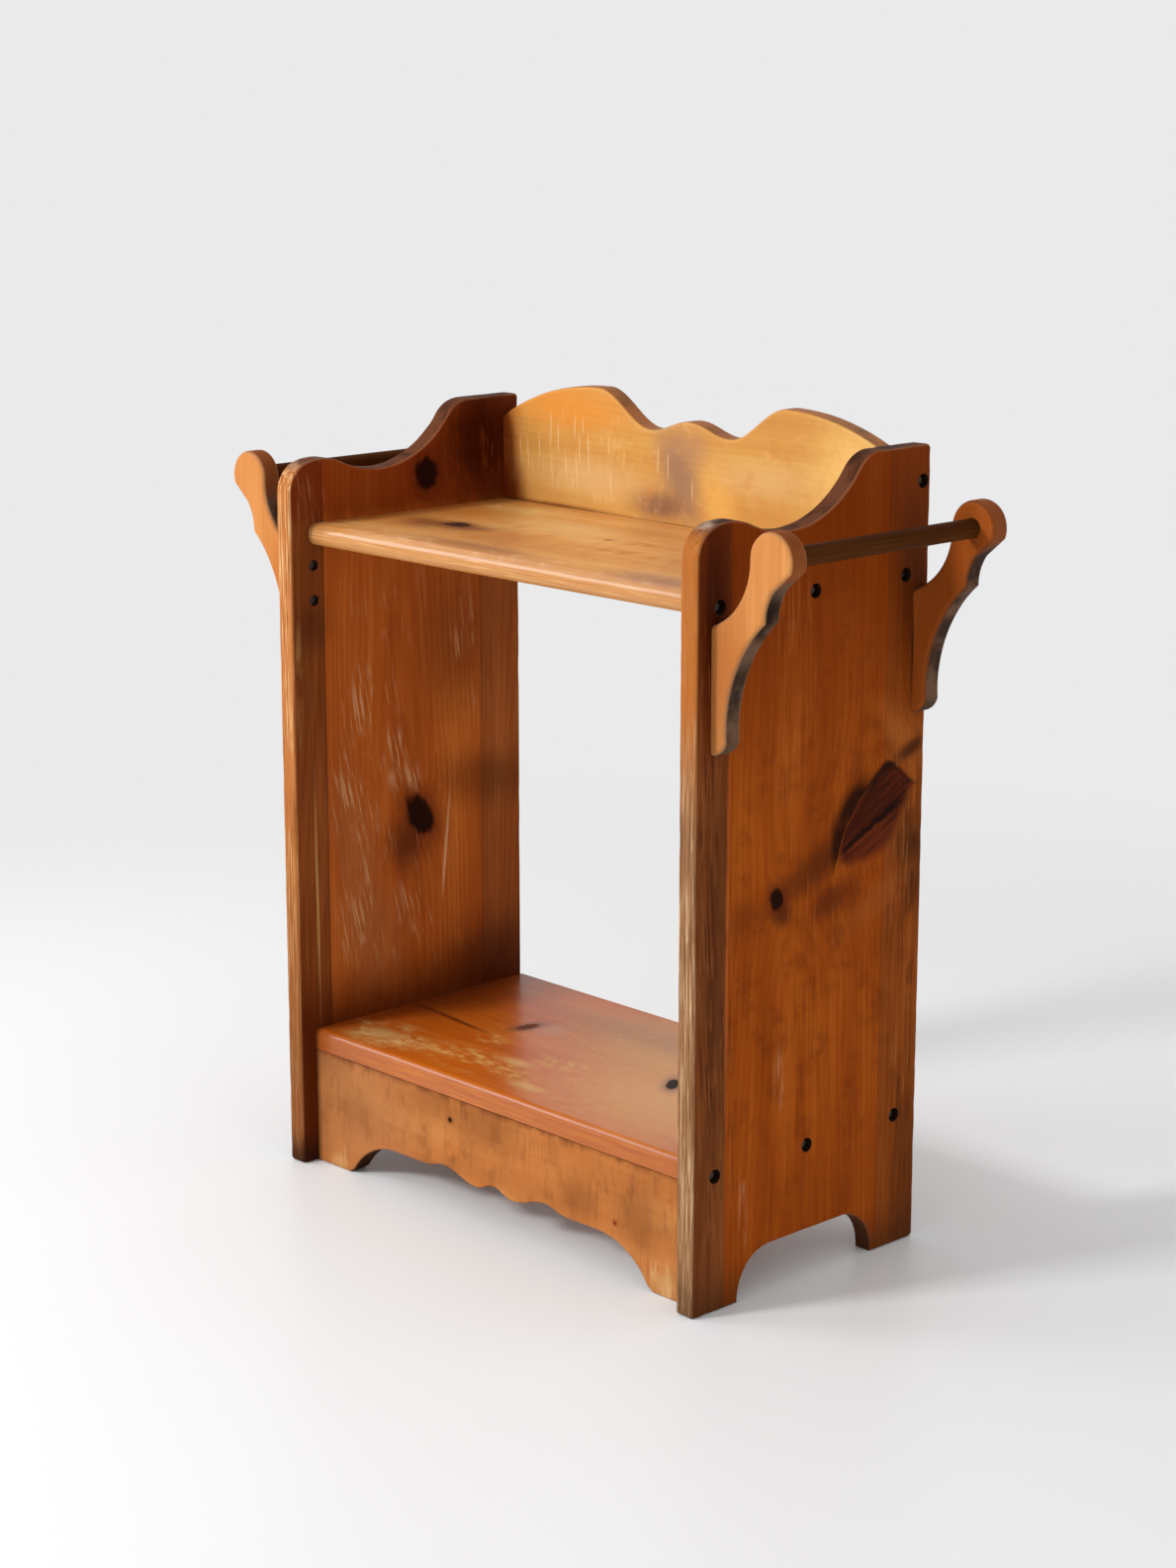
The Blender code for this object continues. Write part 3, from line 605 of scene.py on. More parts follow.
# %% [markdown]
# ## One recipe for every board
#
# All the boards are pine under the same thin varnish, so one function makes every finish. It lays down the
# grain in three tones, then the board's own marks, then the tone of its sawn edges. The edges need no map:
# a point whose normal leans away from the board's face is on one. Varnish is the shader's coat: it is thin
# where the wood is worn, and only the shelves still have much of it.
#
# A mark is a small record: a Blot is a knot or a stain, Wear is scratches or rubbed patches, Hair is thin
# single scratches, and a Wash changes the tone gradually along the grain. A Front says how a front edge is
# rubbed. Places are in metres, across the board and along its grain.

# %% Marks
Blot = namedtuple("Blot", "centre reach turn halo_tone halo core_tone core")
Wear = namedtuple("Wear", "centre reach turn weave cover soft tone strength")
Hair = namedtuple("Hair", "centre reach turn cell share tone strength")
Wash = namedtuple("Wash", "none full tone strength")
Front = namedtuple("Front", "sound worn bare gap none full")
THROUGH = 1.0
SCRATCH = (300, 40, 14)
PATCHES = (120, 40, 75)
SMEARS = (105, 40, 62)
HAIRLINES = (760, 40, 13)
STREAKS = (600, 600, 14)
GOUGES = (240, 40, 15)
STROKES = (520, 40, 9)
CLOUDS = (46, 40, 60)
KNOT_SHADOW = (84, 30, 12)
KNOT_CORE = (32, 13, 8)


def knot(across, along, wide, high, turn=0.0, halo=0.75, core=0.95):
    """A knot with a near-black core in a red-brown shadow."""
    return Blot((across, 0, along), (wide, THROUGH, high), math.radians(turn), tone(*KNOT_SHADOW), halo,
                tone(*KNOT_CORE), core)


def stain(across, along, wide, high, turn, colour, strength):
    """A soft spot of another tone."""
    return Blot((across, 0, along), (wide, THROUGH, high), math.radians(turn), tone(*colour), strength,
                tone(*colour), 0.0)


def scratches(across, along, wide, high, turn, colour, strength, cover=0.5, weave=SCRATCH, soft=0.08):
    """Pale lines or patches where the varnish has gone; also painted highlight and shade in that shape."""
    return Wear((across, 0, along), (wide, THROUGH, high), math.radians(turn), weave, cover, soft,
                tone(*colour), strength)


def hairs(across, along, wide, high, turn, colour, strength, apart, length, share=0.5):
    """Thin single scratches, so far apart and so long."""
    return Hair((across, 0, along), (wide, THROUGH, high), math.radians(turn), (apart, THROUGH, length),
                share, tone(*colour), strength)


def wash(none, full, colour, strength):
    """A tone that comes in along the grain, from nothing at one place to its full strength at another."""
    return Wash(none, full, tone(*colour), strength)


print("kinds of marks:", [kind.__name__ for kind in (Blot, Wear, Hair, Wash)])

# %% [markdown]
# The grain's three values are added up to one depth, and a colour ramp turns that depth into the board's
# three tones. Each mark is then painted over what is there, in the order of the years: the log's own knots
# and stains first, and what hands and cloths have done last.

# %% Grain tones
TONE_PLACES = (0.32, 0.5, 0.8)
DRIFT_SHARE = 0.7
RING_MEAN = 1 / 3


def board_coords(tree, order):
    """Object coordinates in board order, how squarely a point lies on the face, and the plain normal."""
    source = add_node(tree, "ShaderNodeTexCoord")
    parts = add_node(tree, "ShaderNodeSeparateXYZ", {0: source.outputs["Object"]}).outputs
    normal = add_node(tree, "ShaderNodeSeparateXYZ", {0: source.outputs["Normal"]}).outputs
    swapped = dict(zip("XYZ", (parts[axis] for axis in order)))
    coords = add_node(tree, "ShaderNodeCombineXYZ", swapped).outputs[0]
    return coords, calc(tree, "ABSOLUTE", normal[order[1]]), normal


def grain_colour(tree, grain, tones, rings, fibre):
    """Three tones of wood, darker in the late wood of each ring and along the fibres."""
    depth = TONE_PLACES[1] - rings * RING_MEAN - (fibre + DRIFT_SHARE) * NOISE_MEAN
    for part, share in (("Rings", rings), ("Drift", DRIFT_SHARE), ("Fibre", fibre)):
        depth = calc(tree, "ADD", depth, calc(tree, "MULTIPLY", grain[part], share))
    ramp = add_node(tree, "ShaderNodeValToRGB", {0: depth})
    stops = ramp.color_ramp.elements
    stops.new(TONE_PLACES[1])
    for stop, place, colour in zip(stops, TONE_PLACES, tones):
        stop.position = place
        stop.color = tone(*colour)
    return ramp.outputs["Color"]


print("the three tones lie at depths", TONE_PLACES)

# %% Painting the marks
WASH_WEAVE = (60, 60, 30)
WASH_RAGGED = 0.02


def of_kind(kind, marks):
    """The marks of one kind."""
    return [mark for mark in marks if isinstance(mark, kind)]


def place_mark(tree, group, coords, mark, **inputs):
    """A mark's node group at the mark's own place."""
    return use_group(tree, group, coords=coords, centre=mark.centre, reach=mark.reach, turn=mark.turn,
                     **inputs)


def paint_washes(tree, coords, washes, colour):
    """Tones that come in along the grain."""
    along = add_node(tree, "ShaderNodeSeparateXYZ", {0: coords}).outputs["Z"]
    along = calc(tree, "ADD", along, wobble(tree, coords, WASH_WEAVE, WASH_RAGGED))
    for mark in washes:
        mask = rise(tree, along, mark.none, mark.full)
        colour = paint(tree, calc(tree, "MULTIPLY", mask, mark.strength), colour, mark.tone)
    return colour


def paint_blots(tree, blots, shown, colour):
    """Stains on the shown side of a board, knots right through it; also where knots take little varnish."""
    dull = 0.0
    for mark, made in blots:
        depth = mark.halo if mark.core else calc(tree, "MULTIPLY", shown, mark.halo)
        colour = paint(tree, calc(tree, "MULTIPLY", made["Halo"], depth), colour, mark.halo_tone)
        if mark.core:
            colour = paint(tree, calc(tree, "MULTIPLY", made["Core"], mark.core), colour, mark.core_tone)
            dull = calc(tree, "MAXIMUM", dull, made["Core"])
    return colour, dull


def paint_wear(tree, coords, wear, shown, colour):
    """Scratches and rubbed patches on the shown side; also where they leave the wood bare."""
    bare = 0.0
    for mark in wear:
        made = place_mark(tree, WEAR, coords, mark, weave=mark.weave, cover=mark.cover, soft=mark.soft)
        mask = product(tree, made["Mask"], shown, mark.strength)
        colour = paint(tree, mask, colour, mark.tone)
        bare = calc(tree, "MAXIMUM", bare, mask)
    return colour, bare


def paint_hairs(tree, coords, lines, shown, colour):
    """Thin single scratches on the shown side."""
    for mark in lines:
        made = place_mark(tree, HAIR, coords, mark, cell=mark.cell, share=mark.share)
        colour = paint(tree, product(tree, made["Mask"], shown, mark.strength), colour, mark.tone)
    return colour


print("washes are ragged by", WASH_RAGGED * 1000, "mm")

# %% Painting the spike knot
SPIKE_SMOKE_TONE = (26, 9, 4)
SPIKE_UPPER_TONES = ((46, 13, 7), (82, 27, 14))
SPIKE_LOWER_TONES = ((68, 23, 11), (106, 42, 19))
SPIKE_LINE_TONE = (26, 11, 8)
SPIKE_THREAD_TONE = (140, 62, 28)
SPIKE_STRENGTHS = {"Smoke": 0.95, "Leaf": 0.93, "Lines": 0.93, "Thread": 0.3}
SPIKE_FIBRES = (0.34, 0.68)


def paint_spike(tree, branch, colour):
    """The spike knot's parts over the grain."""
    fibres = rise(tree, branch["Fibres"], *SPIKE_FIBRES)
    upper, lower = (paint(tree, fibres, tone(*dark), tone(*light))
                    for dark, light in (SPIKE_UPPER_TONES, SPIKE_LOWER_TONES))
    tones = {
        "Smoke": tone(*SPIKE_SMOKE_TONE),
        "Leaf": paint(tree, branch["Lower"], upper, lower),
        "Lines": tone(*SPIKE_LINE_TONE),
        "Thread": tone(*SPIKE_THREAD_TONE),
    }
    for part, strength in SPIKE_STRENGTHS.items():
        colour = paint(tree, calc(tree, "MULTIPLY", branch[part], strength), colour, tones[part])
    return colour


print("the spike knot is painted as", list(SPIKE_STRENGTHS))

# %% [markdown]
# A board's edge shows end grain, which drinks in stain and dirt, so it is darker than the face. Where the
# face rounds over into the edge lies a band of painted light: a painted highlight on the panels and the
# front brackets, painted shade on the rear brackets. The panels' front edges are worn: the varnish is off,
# and streaks of bare grain show. All three are masks made from the normal, so they follow every curve of an
# outline.

# %% Painting the edges
SAWN_LEAN = (0.2, 0.75)
SAWN_WEAVE = (90, 90, 40)
SAWN_RANGE = (0.8, 1.2)
EDGE_SHADE = 0.55
EDGE_DIRT_WEAVE = (34, 34, 34)
EDGE_DIRT = (0.4, 0.66)
# the rim band is painted light: pale for a highlight, dark for shade
RIM_LEAN = ((0.15, 0.5), (0.7, 0.97))
RIM_BREAKS = (0.3, 0.55)
FRONT_LEAN = (0.25, 0.9)
FRONT_GAPS = (0.32, 0.46)
FRONT_GAP_SHARES = (0.3, 0.8)
FRONT_BARE = (0.50, 0.64)
FRONT_BARE_SHARES = (0.25, 0.95)
FRONT_PATCH_WEAVE = (40, 40, 11)
FRONT_PATCHES = (0.36, 0.56)


def paint_sawn(tree, coords, facing, edge, rim_marks, colour):
    """A sawn edge, dark and dirty, with marks of its own; also where it is."""
    edge_tone, strength = edge
    uneven = blend(tree, cloud(tree, coords, SAWN_WEAVE), *SAWN_RANGE)
    sawn = product(tree, fall(tree, facing, *SAWN_LEAN), uneven, strength)
    dark = tone(*(part * EDGE_SHADE for part in edge_tone))
    dirt = rise(tree, cloud(tree, coords, EDGE_DIRT_WEAVE, detail=4.0), *EDGE_DIRT)
    worked = paint(tree, dirt, tone(*edge_tone), dark)
    worked = paint_washes(tree, coords, of_kind(Wash, rim_marks), worked)
    worked = paint_wear(tree, coords, of_kind(Wear, rim_marks), 1.0, worked)[0]
    return paint(tree, sawn, colour, worked), sawn


def paint_rim_light_and_shade(tree, facing, drift, rim, colour):
    """Painted light on a rounded rim: a pale tone paints a highlight, a dark one paints shade."""
    rim_tone, strength = rim
    band = product(tree, span(tree, facing, *RIM_LEAN), strength, rise(tree, drift, *RIM_BREAKS))
    return paint(tree, band, colour, tone(*rim_tone))


def toward_front(tree, normal, low, high):
    """Where a surface looks toward the front of the stand."""
    return rise(tree, calc(tree, "MULTIPLY", normal["Y"], -1.0), low, high)


def paint_front(tree, coords, normal, front, colour):
    """A front edge rubbed to the bare grain, more so from one height to another; also where it is bare."""
    ahead = toward_front(tree, normal, *FRONT_LEAN)
    height = add_node(tree, "ShaderNodeSeparateXYZ",
                      {0: add_node(tree, "ShaderNodeTexCoord").outputs["Object"]}).outputs["Z"]
    worn = rise(tree, height, front.none, front.full)
    base = paint(tree, worn, tone(*front.sound), tone(*front.worn))
    lines = cloud(tree, coords, STREAKS, roughness=0.6)
    gaps = product(tree, fall(tree, lines, *FRONT_GAPS), blend(tree, worn, *FRONT_GAP_SHARES))
    base = paint(tree, gaps, base, tone(*front.gap))
    patches = rise(tree, cloud(tree, coords, FRONT_PATCH_WEAVE), *FRONT_PATCHES)
    bare = product(tree, rise(tree, lines, *FRONT_BARE), patches, blend(tree, worn, *FRONT_BARE_SHARES))
    base = paint(tree, bare, base, tone(*front.bare))
    return paint(tree, ahead, colour, base), product(tree, bare, ahead)


print("an edge is fully sawn where its normal leans past", SAWN_LEAN[0])

# %% [markdown]
# Red-brown boards would tint a white floor pink, more than the eye or a camera that is set for white finds
# it to be. So diffuse rays, the ones that carry light from thing to thing, see each board half grey. A bump
# gives the fibres a fine relief that is too small to model.

# %% Varnish and relief
BOUNCE_GREY = 0.5
LEAST_ROUGHNESS = 0.32
DRIFT_ROUGHNESS = 0.2
BARE_ROUGHNESS = 0.25
BARE_COAT_SHARE = 0.2
NOSE_AHEAD = (0.3, 0.6)
NOSE_UP = (0.0, 0.3)
FIBRE_RELIEF = 0.6
RING_RELIEF = 0.2
BARE_RELIEF = 0.3
RELIEF_STRENGTH = 0.35
RELIEF_DEPTH = 0.0006


def paled_bounce(tree, colour):
    """A colour that diffuse rays see partly grey."""
    bounced = add_node(tree, "ShaderNodeLightPath").outputs["Is Diffuse Ray"]
    grey = add_node(tree, "ShaderNodeRGBToBW", {0: colour}).outputs[0]
    return paint(tree, calc(tree, "MULTIPLY", bounced, BOUNCE_GREY), colour, grey)


def varnish(tree, grain, bare, normal, coat, nose):
    """Thinner, duller varnish on bare wood, more of it on top of a nose, and the grain's relief."""
    dull = calc(tree, "ADD", LEAST_ROUGHNESS, calc(tree, "MULTIPLY", grain["Drift"], DRIFT_ROUGHNESS))
    dull = calc(tree, "ADD", dull, calc(tree, "MULTIPLY", bare, BARE_ROUGHNESS))
    layer = blend(tree, bare, coat, coat * BARE_COAT_SHARE)
    if nose:
        top = product(tree, toward_front(tree, normal, *NOSE_AHEAD), rise(tree, normal["Z"], *NOSE_UP))
        layer = blend(tree, top, layer, nose)
    height = calc(tree, "MULTIPLY", grain["Fibre"], FIBRE_RELIEF)
    height = calc(tree, "SUBTRACT", height, calc(tree, "MULTIPLY", grain["Rings"], RING_RELIEF))
    height = calc(tree, "SUBTRACT", height, calc(tree, "MULTIPLY", bare, BARE_RELIEF))
    bump = add_node(tree, "ShaderNodeBump",
                    {"Strength": RELIEF_STRENGTH, "Distance": RELIEF_DEPTH, "Height": height})
    return {"Roughness": dull, "Coat Weight": layer, "Normal": bump.outputs[0]}


print("bare wood keeps", BARE_COAT_SHARE, "of its varnish")

# %% [markdown]
# Now the recipe itself. What a board is given decides which steps it goes through: only a board with an
# edge tone has sawn edges painted, only the right panel has the spike knot, and so on.

# %% Pine finish
SIDE_LEAN = 0.3
SAWN_BARE = 0.5


def pine(name, order, tones, pith, seed, marks=(), edge=None, rim=None, rim_marks=(), spike=False, front=None,
         grime=(), rings=0.05, fibre=0.6, spacing=0.0042, shine=0.02, coat=0.0, glaze=0.16, nose=0.0, side=0,
         grain_order=None):
    """A pine finish from three tones, a place in the log, and the board's own marks.

    Stains and wear show on one side of the board when side is 1 or -1, and on both when it is 0. The grain
    may run another way than the order in which the marks are placed.
    """
    finish, tree, surface = new_finish(name)
    coords, facing, normal = board_coords(tree, order)
    shown = 1.0
    if side:
        shown = rise(tree, calc(tree, "MULTIPLY", normal[order[1]], side), -SIDE_LEAN, SIDE_LEAN)
    stains_first = sorted(of_kind(Blot, marks), key=lambda mark: mark.core > 0)
    blots = [(mark, place_mark(tree, BLOT, coords, mark)) for mark in stains_first]
    bend = 0.0
    for mark, made in blots:
        if mark.core:
            bend = calc(tree, "ADD", bend, made["Bend"])
    if spike:
        branch = use_group(tree, SPIKE, coords=coords)
        bend = calc(tree, "ADD", bend, branch["Bend"])
    grain_coords = board_coords(tree, grain_order)[0] if grain_order else coords
    grain = use_group(tree, GRAIN, coords=grain_coords, pith=pith, spacing=spacing, bend=bend, seed=seed)

    colour = grain_colour(tree, grain, tones, rings, fibre)
    colour = paint_washes(tree, coords, of_kind(Wash, marks), colour)
    colour, knots = paint_blots(tree, blots, shown, colour)
    soft_wood = product(tree, calc(tree, "SUBTRACT", 1.0, knots), shown)
    if spike:
        colour = paint_spike(tree, branch, colour)
        soft_wood = product(tree, soft_wood, calc(tree, "SUBTRACT", 1.0, branch["Leaf"]))
    colour, bare = paint_wear(tree, coords, of_kind(Wear, marks), soft_wood, colour)
    bare = calc(tree, "MAXIMUM", bare, knots)
    colour = paint_hairs(tree, coords, of_kind(Hair, marks), soft_wood, colour)
    if edge:
        colour, sawn = paint_sawn(tree, coords, facing, edge, rim_marks, colour)
        bare = calc(tree, "MAXIMUM", bare, calc(tree, "MULTIPLY", sawn, SAWN_BARE))
    # painted highlight and painted shade on the rounded rims
    if rim:
        colour = paint_rim_light_and_shade(tree, facing, grain["Drift"], rim, colour)
    if front:
        colour, front_bare = paint_front(tree, coords, normal, front, colour)
        bare = calc(tree, "MAXIMUM", bare, front_bare)
    colour = paint_washes(tree, coords, grime, colour)

    wire(tree, surface.inputs, {"Base Color": paled_bounce(tree, colour), "Specular IOR Level": shine,
                                "Coat Roughness": glaze, **varnish(tree, grain, bare, normal, coat, nose)})
    return finish


print("one pine recipe is ready")

# %% [markdown]
# ## Drawing outlines
#
# The scrolled edges were bandsawn to a pattern: arcs that run into one another, and soft waves. The frame
# has them with few facets, so they are drawn again here with short steps.

# %% Outline helpers
ARC_STEP_DEGREES = 3.0
WAVE_STEPS = 18


def arc(center, radius, start_degrees, end_degrees):
    """Points along a circle, both ends included."""
    steps = max(3, math.ceil(abs(end_degrees - start_degrees) / ARC_STEP_DEGREES))
    points = []
    for step in range(steps + 1):
        angle = math.radians(start_degrees + (end_degrees - start_degrees) * step / steps)
        points.append(center + radius * Vector((math.cos(angle), math.sin(angle))))
    return points


def angle_to(center, point):
    """The direction from a centre to a point, in degrees from 0 to 360."""
    away = point - center
    return math.degrees(math.atan2(away.y, away.x)) % 360.0


def bow(start, end, height):
    """Points along an arc that bulges by height to the left of the line from start to end."""
    chord = end - start
    half = chord.length / 2
    radius = (half * half + height * height) / (2 * abs(height))
    to_left = Vector((-chord.y, chord.x)).normalized()
    center = (start + end) / 2 + to_left * (height - math.copysign(radius, height))
    first = angle_to(center, start)
    turn = math.degrees(2 * math.asin(min(1.0, half / radius)))
    return arc(center, radius, first, first - math.copysign(turn, height))


def wave(start, end):
    """Points along half a cosine wave, level at both ends, start left out."""
    points = []
    for step in range(1, WAVE_STEPS + 1):
        share = step / WAVE_STEPS
        up = (1 - math.cos(math.pi * share)) / 2
        points.append(Vector((start.x + (end.x - start.x) * share, start.y + (end.y - start.y) * up)))
    return points


def meeting_point(center_a, radius_a, center_b, radius_b):
    """The upper of the two points where two circles meet."""
    across = center_b - center_a
    along = (across.length_squared + radius_a ** 2 - radius_b ** 2) / (2 * across.length)
    aside = math.sqrt(max(0.0, radius_a ** 2 - along ** 2))
    ahead = across.normalized()
    choices = [center_a + ahead * along + Vector((-ahead.y, ahead.x)) * aside * side for side in (1, -1)]
    return max(choices, key=lambda point: point.y)


def mirrored(half):
    """A whole outline from its right half, which starts on the middle line."""
    return [Vector((-point.x, point.y)) for point in reversed(half[1:])] + half


print("a quarter turn has", len(arc(Vector((0, 0)), 1, 0, 90)), "points")

# %% [markdown]
# ## From an outline to a board
#
# A board is its outline drawn out to its thickness. Its edges are cut into short pieces first, so that a
# rounding bevel has points to follow and every knock of the years can dent it a little.

# %% Boards from outlines
EDGE_PIECE = 0.006
ROUND_SEGMENTS = 5
DENT_SCALE = 55.0
FACE_LEAN = 0.98
SAME_PLACE = 1e-6


def place(point, axis, along):
    """A point of an outline in space: outlines lie across the X or the Y axis."""
    return Vector((along, point.x, point.y)) if axis == "X" else Vector((point.x, along, point.y))


def draw_out(mesh, way):
    """Draw the faces of a flat bmesh out to a solid."""
    grown = bmesh.ops.extrude_face_region(mesh, geom=mesh.faces[:])
    moved = [item for item in grown["geom"] if isinstance(item, bmesh.types.BMVert)]
    bmesh.ops.translate(mesh, verts=moved, vec=way)


def prism(outline, axis, low, high):
    """A bmesh of an outline with its long edges cut up, drawn out along an axis."""
    mesh = bmesh.new()
    mesh.faces.new([mesh.verts.new(place(point, axis, low)) for point in outline])
    for edge in list(mesh.edges):
        cuts = int(edge.calc_length() / EDGE_PIECE)
        if cuts:
            bmesh.ops.subdivide_edges(mesh, edges=[edge], cuts=cuts)
    draw_out(mesh, place(Vector((0, 0)), axis, high - low))
    bmesh.ops.recalc_face_normals(mesh, faces=mesh.faces)
    return mesh


def round_rims(mesh, axis, width, wanted):
    """Round the edges where an outline's sides meet its two faces, at the points that are wanted."""
    along = "XYZ".index(axis)
    flat = 1 - along
    rims = []
    for edge in mesh.edges:
        first, second = (vert.co for vert in edge.verts)
        middle = (first + second) / 2
        if abs(first[along] - second[along]) < SAME_PLACE and wanted(Vector((middle[flat], middle.z))):
            rims.append(edge)
    bmesh.ops.bevel(mesh, geom=rims, offset=width, offset_type="OFFSET", segments=ROUND_SEGMENTS,
                    profile=0.5, affect="EDGES", clamp_overlap=False, material=-1)


def knock(point):
    """How hard the years have knocked at a point, from 0 to about 1."""
    return max(0.0, noise.noise(point * DENT_SCALE))


def dent_edges(mesh, axis, depth):
    """Press the edges in a little here and there, and leave the broad faces alone."""
    along = "XYZ".index(axis)
    mesh.normal_update()
    for vert in mesh.verts:
        if abs(vert.normal[along]) < FACE_LEAN:
            vert.co -= vert.normal * depth * knock(vert.co)


print("edges are cut to pieces of", EDGE_PIECE * 1000, "mm at most")

# %% [markdown]
# A panel is sawn into its boards by planes that keep one side and close the cut. Holes and dowels are
# turned: a profile is spun once round, which gives cleaner rings of faces than cutting up a cylinder.

# %% Sawing and turning
def saw(mesh, low, high):
    """A copy of a solid cut down to the part between two Y values, with closed ends."""
    board = mesh.copy()
    for limit, toward in ((low, -1), (high, 1)):
        if limit is None:
            continue
        everything = board.verts[:] + board.edges[:] + board.faces[:]
        bmesh.ops.bisect_plane(board, geom=everything, dist=SAME_PLACE, plane_co=(0, limit, 0),
                               plane_no=(0, toward, 0), clear_outer=True)
        bmesh.ops.holes_fill(board, edges=[edge for edge in board.edges if edge.is_boundary])
    bmesh.ops.recalc_face_normals(board, faces=board.faces)
    return board


def revolve(profile, sides):
    """A bmesh of (radius, height) points, turned once round the Z axis."""
    mesh = bmesh.new()
    points = [mesh.verts.new((radius, 0, height)) for radius, height in profile]
    edges = [mesh.edges.new(pair) for pair in zip(points, points[1:])]
    bmesh.ops.spin(mesh, geom=points + edges, cent=(0, 0, 0), axis=(0, 0, 1), angle=2 * math.pi, steps=sides,
                   use_merge=True)
    bmesh.ops.remove_doubles(mesh, verts=mesh.verts, dist=SAME_PLACE)
    bmesh.ops.recalc_face_normals(mesh, faces=mesh.faces)
    return mesh


def joined(meshes):
    """Several bmeshes as one."""
    whole = bmesh.new()
    for mesh in meshes:
        data = bpy.data.meshes.new("part")
        mesh.to_mesh(data)
        mesh.free()
        whole.from_mesh(data)
        bpy.data.meshes.remove(data)
    return whole


print("sawing and turning are ready")

# %% [markdown]
# A finished mesh becomes an object with its finish. A boolean drills it, and is applied at once so that the
# object keeps a plain mesh. A drilled hole is blackened by dust, so it has a finish of its own. The
# Weighted Normal modifier keeps the broad faces looking flat while the rounded edges shade smoothly.

# %% Pieces and their holes
SMOOTH_ANGLE = math.radians(35)
SOOT_WEAVE = (500, 500, 500)
SOOT_TONES = ((14, 9, 7), (52, 30, 18))
SOOT_ROUGHNESS = 0.85
SOOT_SHINE = 0.1


def soot():
    """The inside of a drilled hole: end grain that dust has blackened."""
    finish, tree, surface = new_finish("drilled_hole")
    coords = add_node(tree, "ShaderNodeTexCoord").outputs["Object"]
    dark, light = (tone(*shade) for shade in SOOT_TONES)
    dust = paint(tree, cloud(tree, coords, SOOT_WEAVE), dark, light)
    wire(tree, surface.inputs, {"Base Color": dust, "Roughness": SOOT_ROUGHNESS,
                                "Specular IOR Level": SOOT_SHINE})
    return finish


SOOT = soot()


def add_object(name, mesh, *finishes):
    """An object from a bmesh, smooth over its roundings."""
    data = bpy.data.meshes.new(name)
    mesh.to_mesh(data)
    mesh.free()
    data.shade_smooth()
    data.set_sharp_from_angle(angle=SMOOTH_ANGLE)
    for finish in finishes:
        data.materials.append(finish)
    made = bpy.data.objects.new(name, data)
    bpy.context.scene.collection.objects.link(made)
    return made


def bore(piece, cutters):
    """Cut a bmesh of several separate solids out of a piece, for good, and darken what they bare."""
    for face in cutters.faces:
        face.material_index = 1
    tool = add_object("cutter", cutters, SOOT, SOOT)
    cut = piece.modifiers.new("bores", "BOOLEAN")
    cut.object = tool
    cut.operation = "DIFFERENCE"
    cut.solver = "EXACT"
    ready = piece.evaluated_get(bpy.context.evaluated_depsgraph_get())
    bored = bpy.data.meshes.new_from_object(ready)
    piece.modifiers.clear()
    spare = piece.data
    piece.data = bored
    bored.set_sharp_from_angle(angle=SMOOTH_ANGLE)
    bpy.data.meshes.remove(spare)
    bpy.data.objects.remove(tool)


def settle(piece, body, node):
    """Give a piece its body and flat-looking faces, and hide the node of the frame that it stands for."""
    normals = piece.modifiers.new("flat faces", "WEIGHTED_NORMAL")
    normals.keep_sharp = True
    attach(piece, body)
    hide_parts(node)
    return piece


# %% [markdown]
# ## Screw holes
#
# The panels are drawn to what they carry by wood screws. Those into the shelves and the backsplash sit at
# the bottom of counterbores, drilled from outside, and those into the brackets are sunk from inside. A hole
# is a turned profile, a little flared at its mouth, and its place is read from the screw that it holds.

# %% Holes
COUNTERBORE_RADIUS = 0.0055
COUNTERBORE_DEPTH = 0.007
SINK_RADIUS = 0.0043
SINK_DEPTH = 0.0036
SINK_TAPER = 0.003
SHANK_RADIUS = 0.0021
HOLE_FLARE = 0.0006
HOLE_SIDES = 32
SCREW_ROOM = 0.0004
OVERSHOOT = 0.002
SIDES = {"left": -1, "right": 1}

panel_low, panel_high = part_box("right_side_centre_board")
SIDE_INNER = panel_low.x
SIDE_OUTER = panel_high.x
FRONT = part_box("right_side_front_strip")[0].y
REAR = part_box("right_side_rear_strip")[1].y
SCREWS = sorted(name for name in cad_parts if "_screw_" in name)


def screw_hole(name):
    """A cutter for one screw, along X, from the face of the panel to past the screw's point."""
    low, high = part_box(name)
    middle = (low + high) / 2
    side = SIDES["left"] if "_left" in name else SIDES["right"]
    sunk = name.startswith("bracket")
    toward = side if sunk else -side
    mouth = side * (SIDE_INNER if sunk else SIDE_OUTER)
    tip = abs((high.x if toward > 0 else low.x) - mouth)
    radius = SINK_RADIUS if sunk else COUNTERBORE_RADIUS
    depth = SINK_DEPTH if sunk else COUNTERBORE_DEPTH
    taper = SINK_TAPER if sunk else 0
    shank = SHANK_RADIUS + SCREW_ROOM
    profile = [
        (0, -OVERSHOOT), (radius + HOLE_FLARE, -OVERSHOOT), (radius + HOLE_FLARE, 0), (radius, HOLE_FLARE),
        (radius, depth), (shank, depth + taper), (shank, tip), (0, tip + SCREW_ROOM),
    ]
    aim = Vector((toward, 0, 0)).to_track_quat("Z", "Y").to_matrix().to_4x4()
    hole = revolve(profile, HOLE_SIDES)
    hole.transform(Matrix.Translation((mouth, middle.y, middle.z)) @ aim)
    return hole


def holes_for(*words):
    """The cutters of every screw whose name has all of these words."""
    return joined([screw_hole(name) for name in SCREWS if all(word in name for word in words)])


print("screws in the frame:", len(SCREWS))

# %% [markdown]
# ## The side panels
#
# Each panel is three boards glued edge to edge: a narrow strip at the front, a wide board, and a strip at
# the back. The glued panel was sawn to its outline and its edges were rounded, so the outline is drawn
# whole here, rounded, dented, and only then cut into its boards.

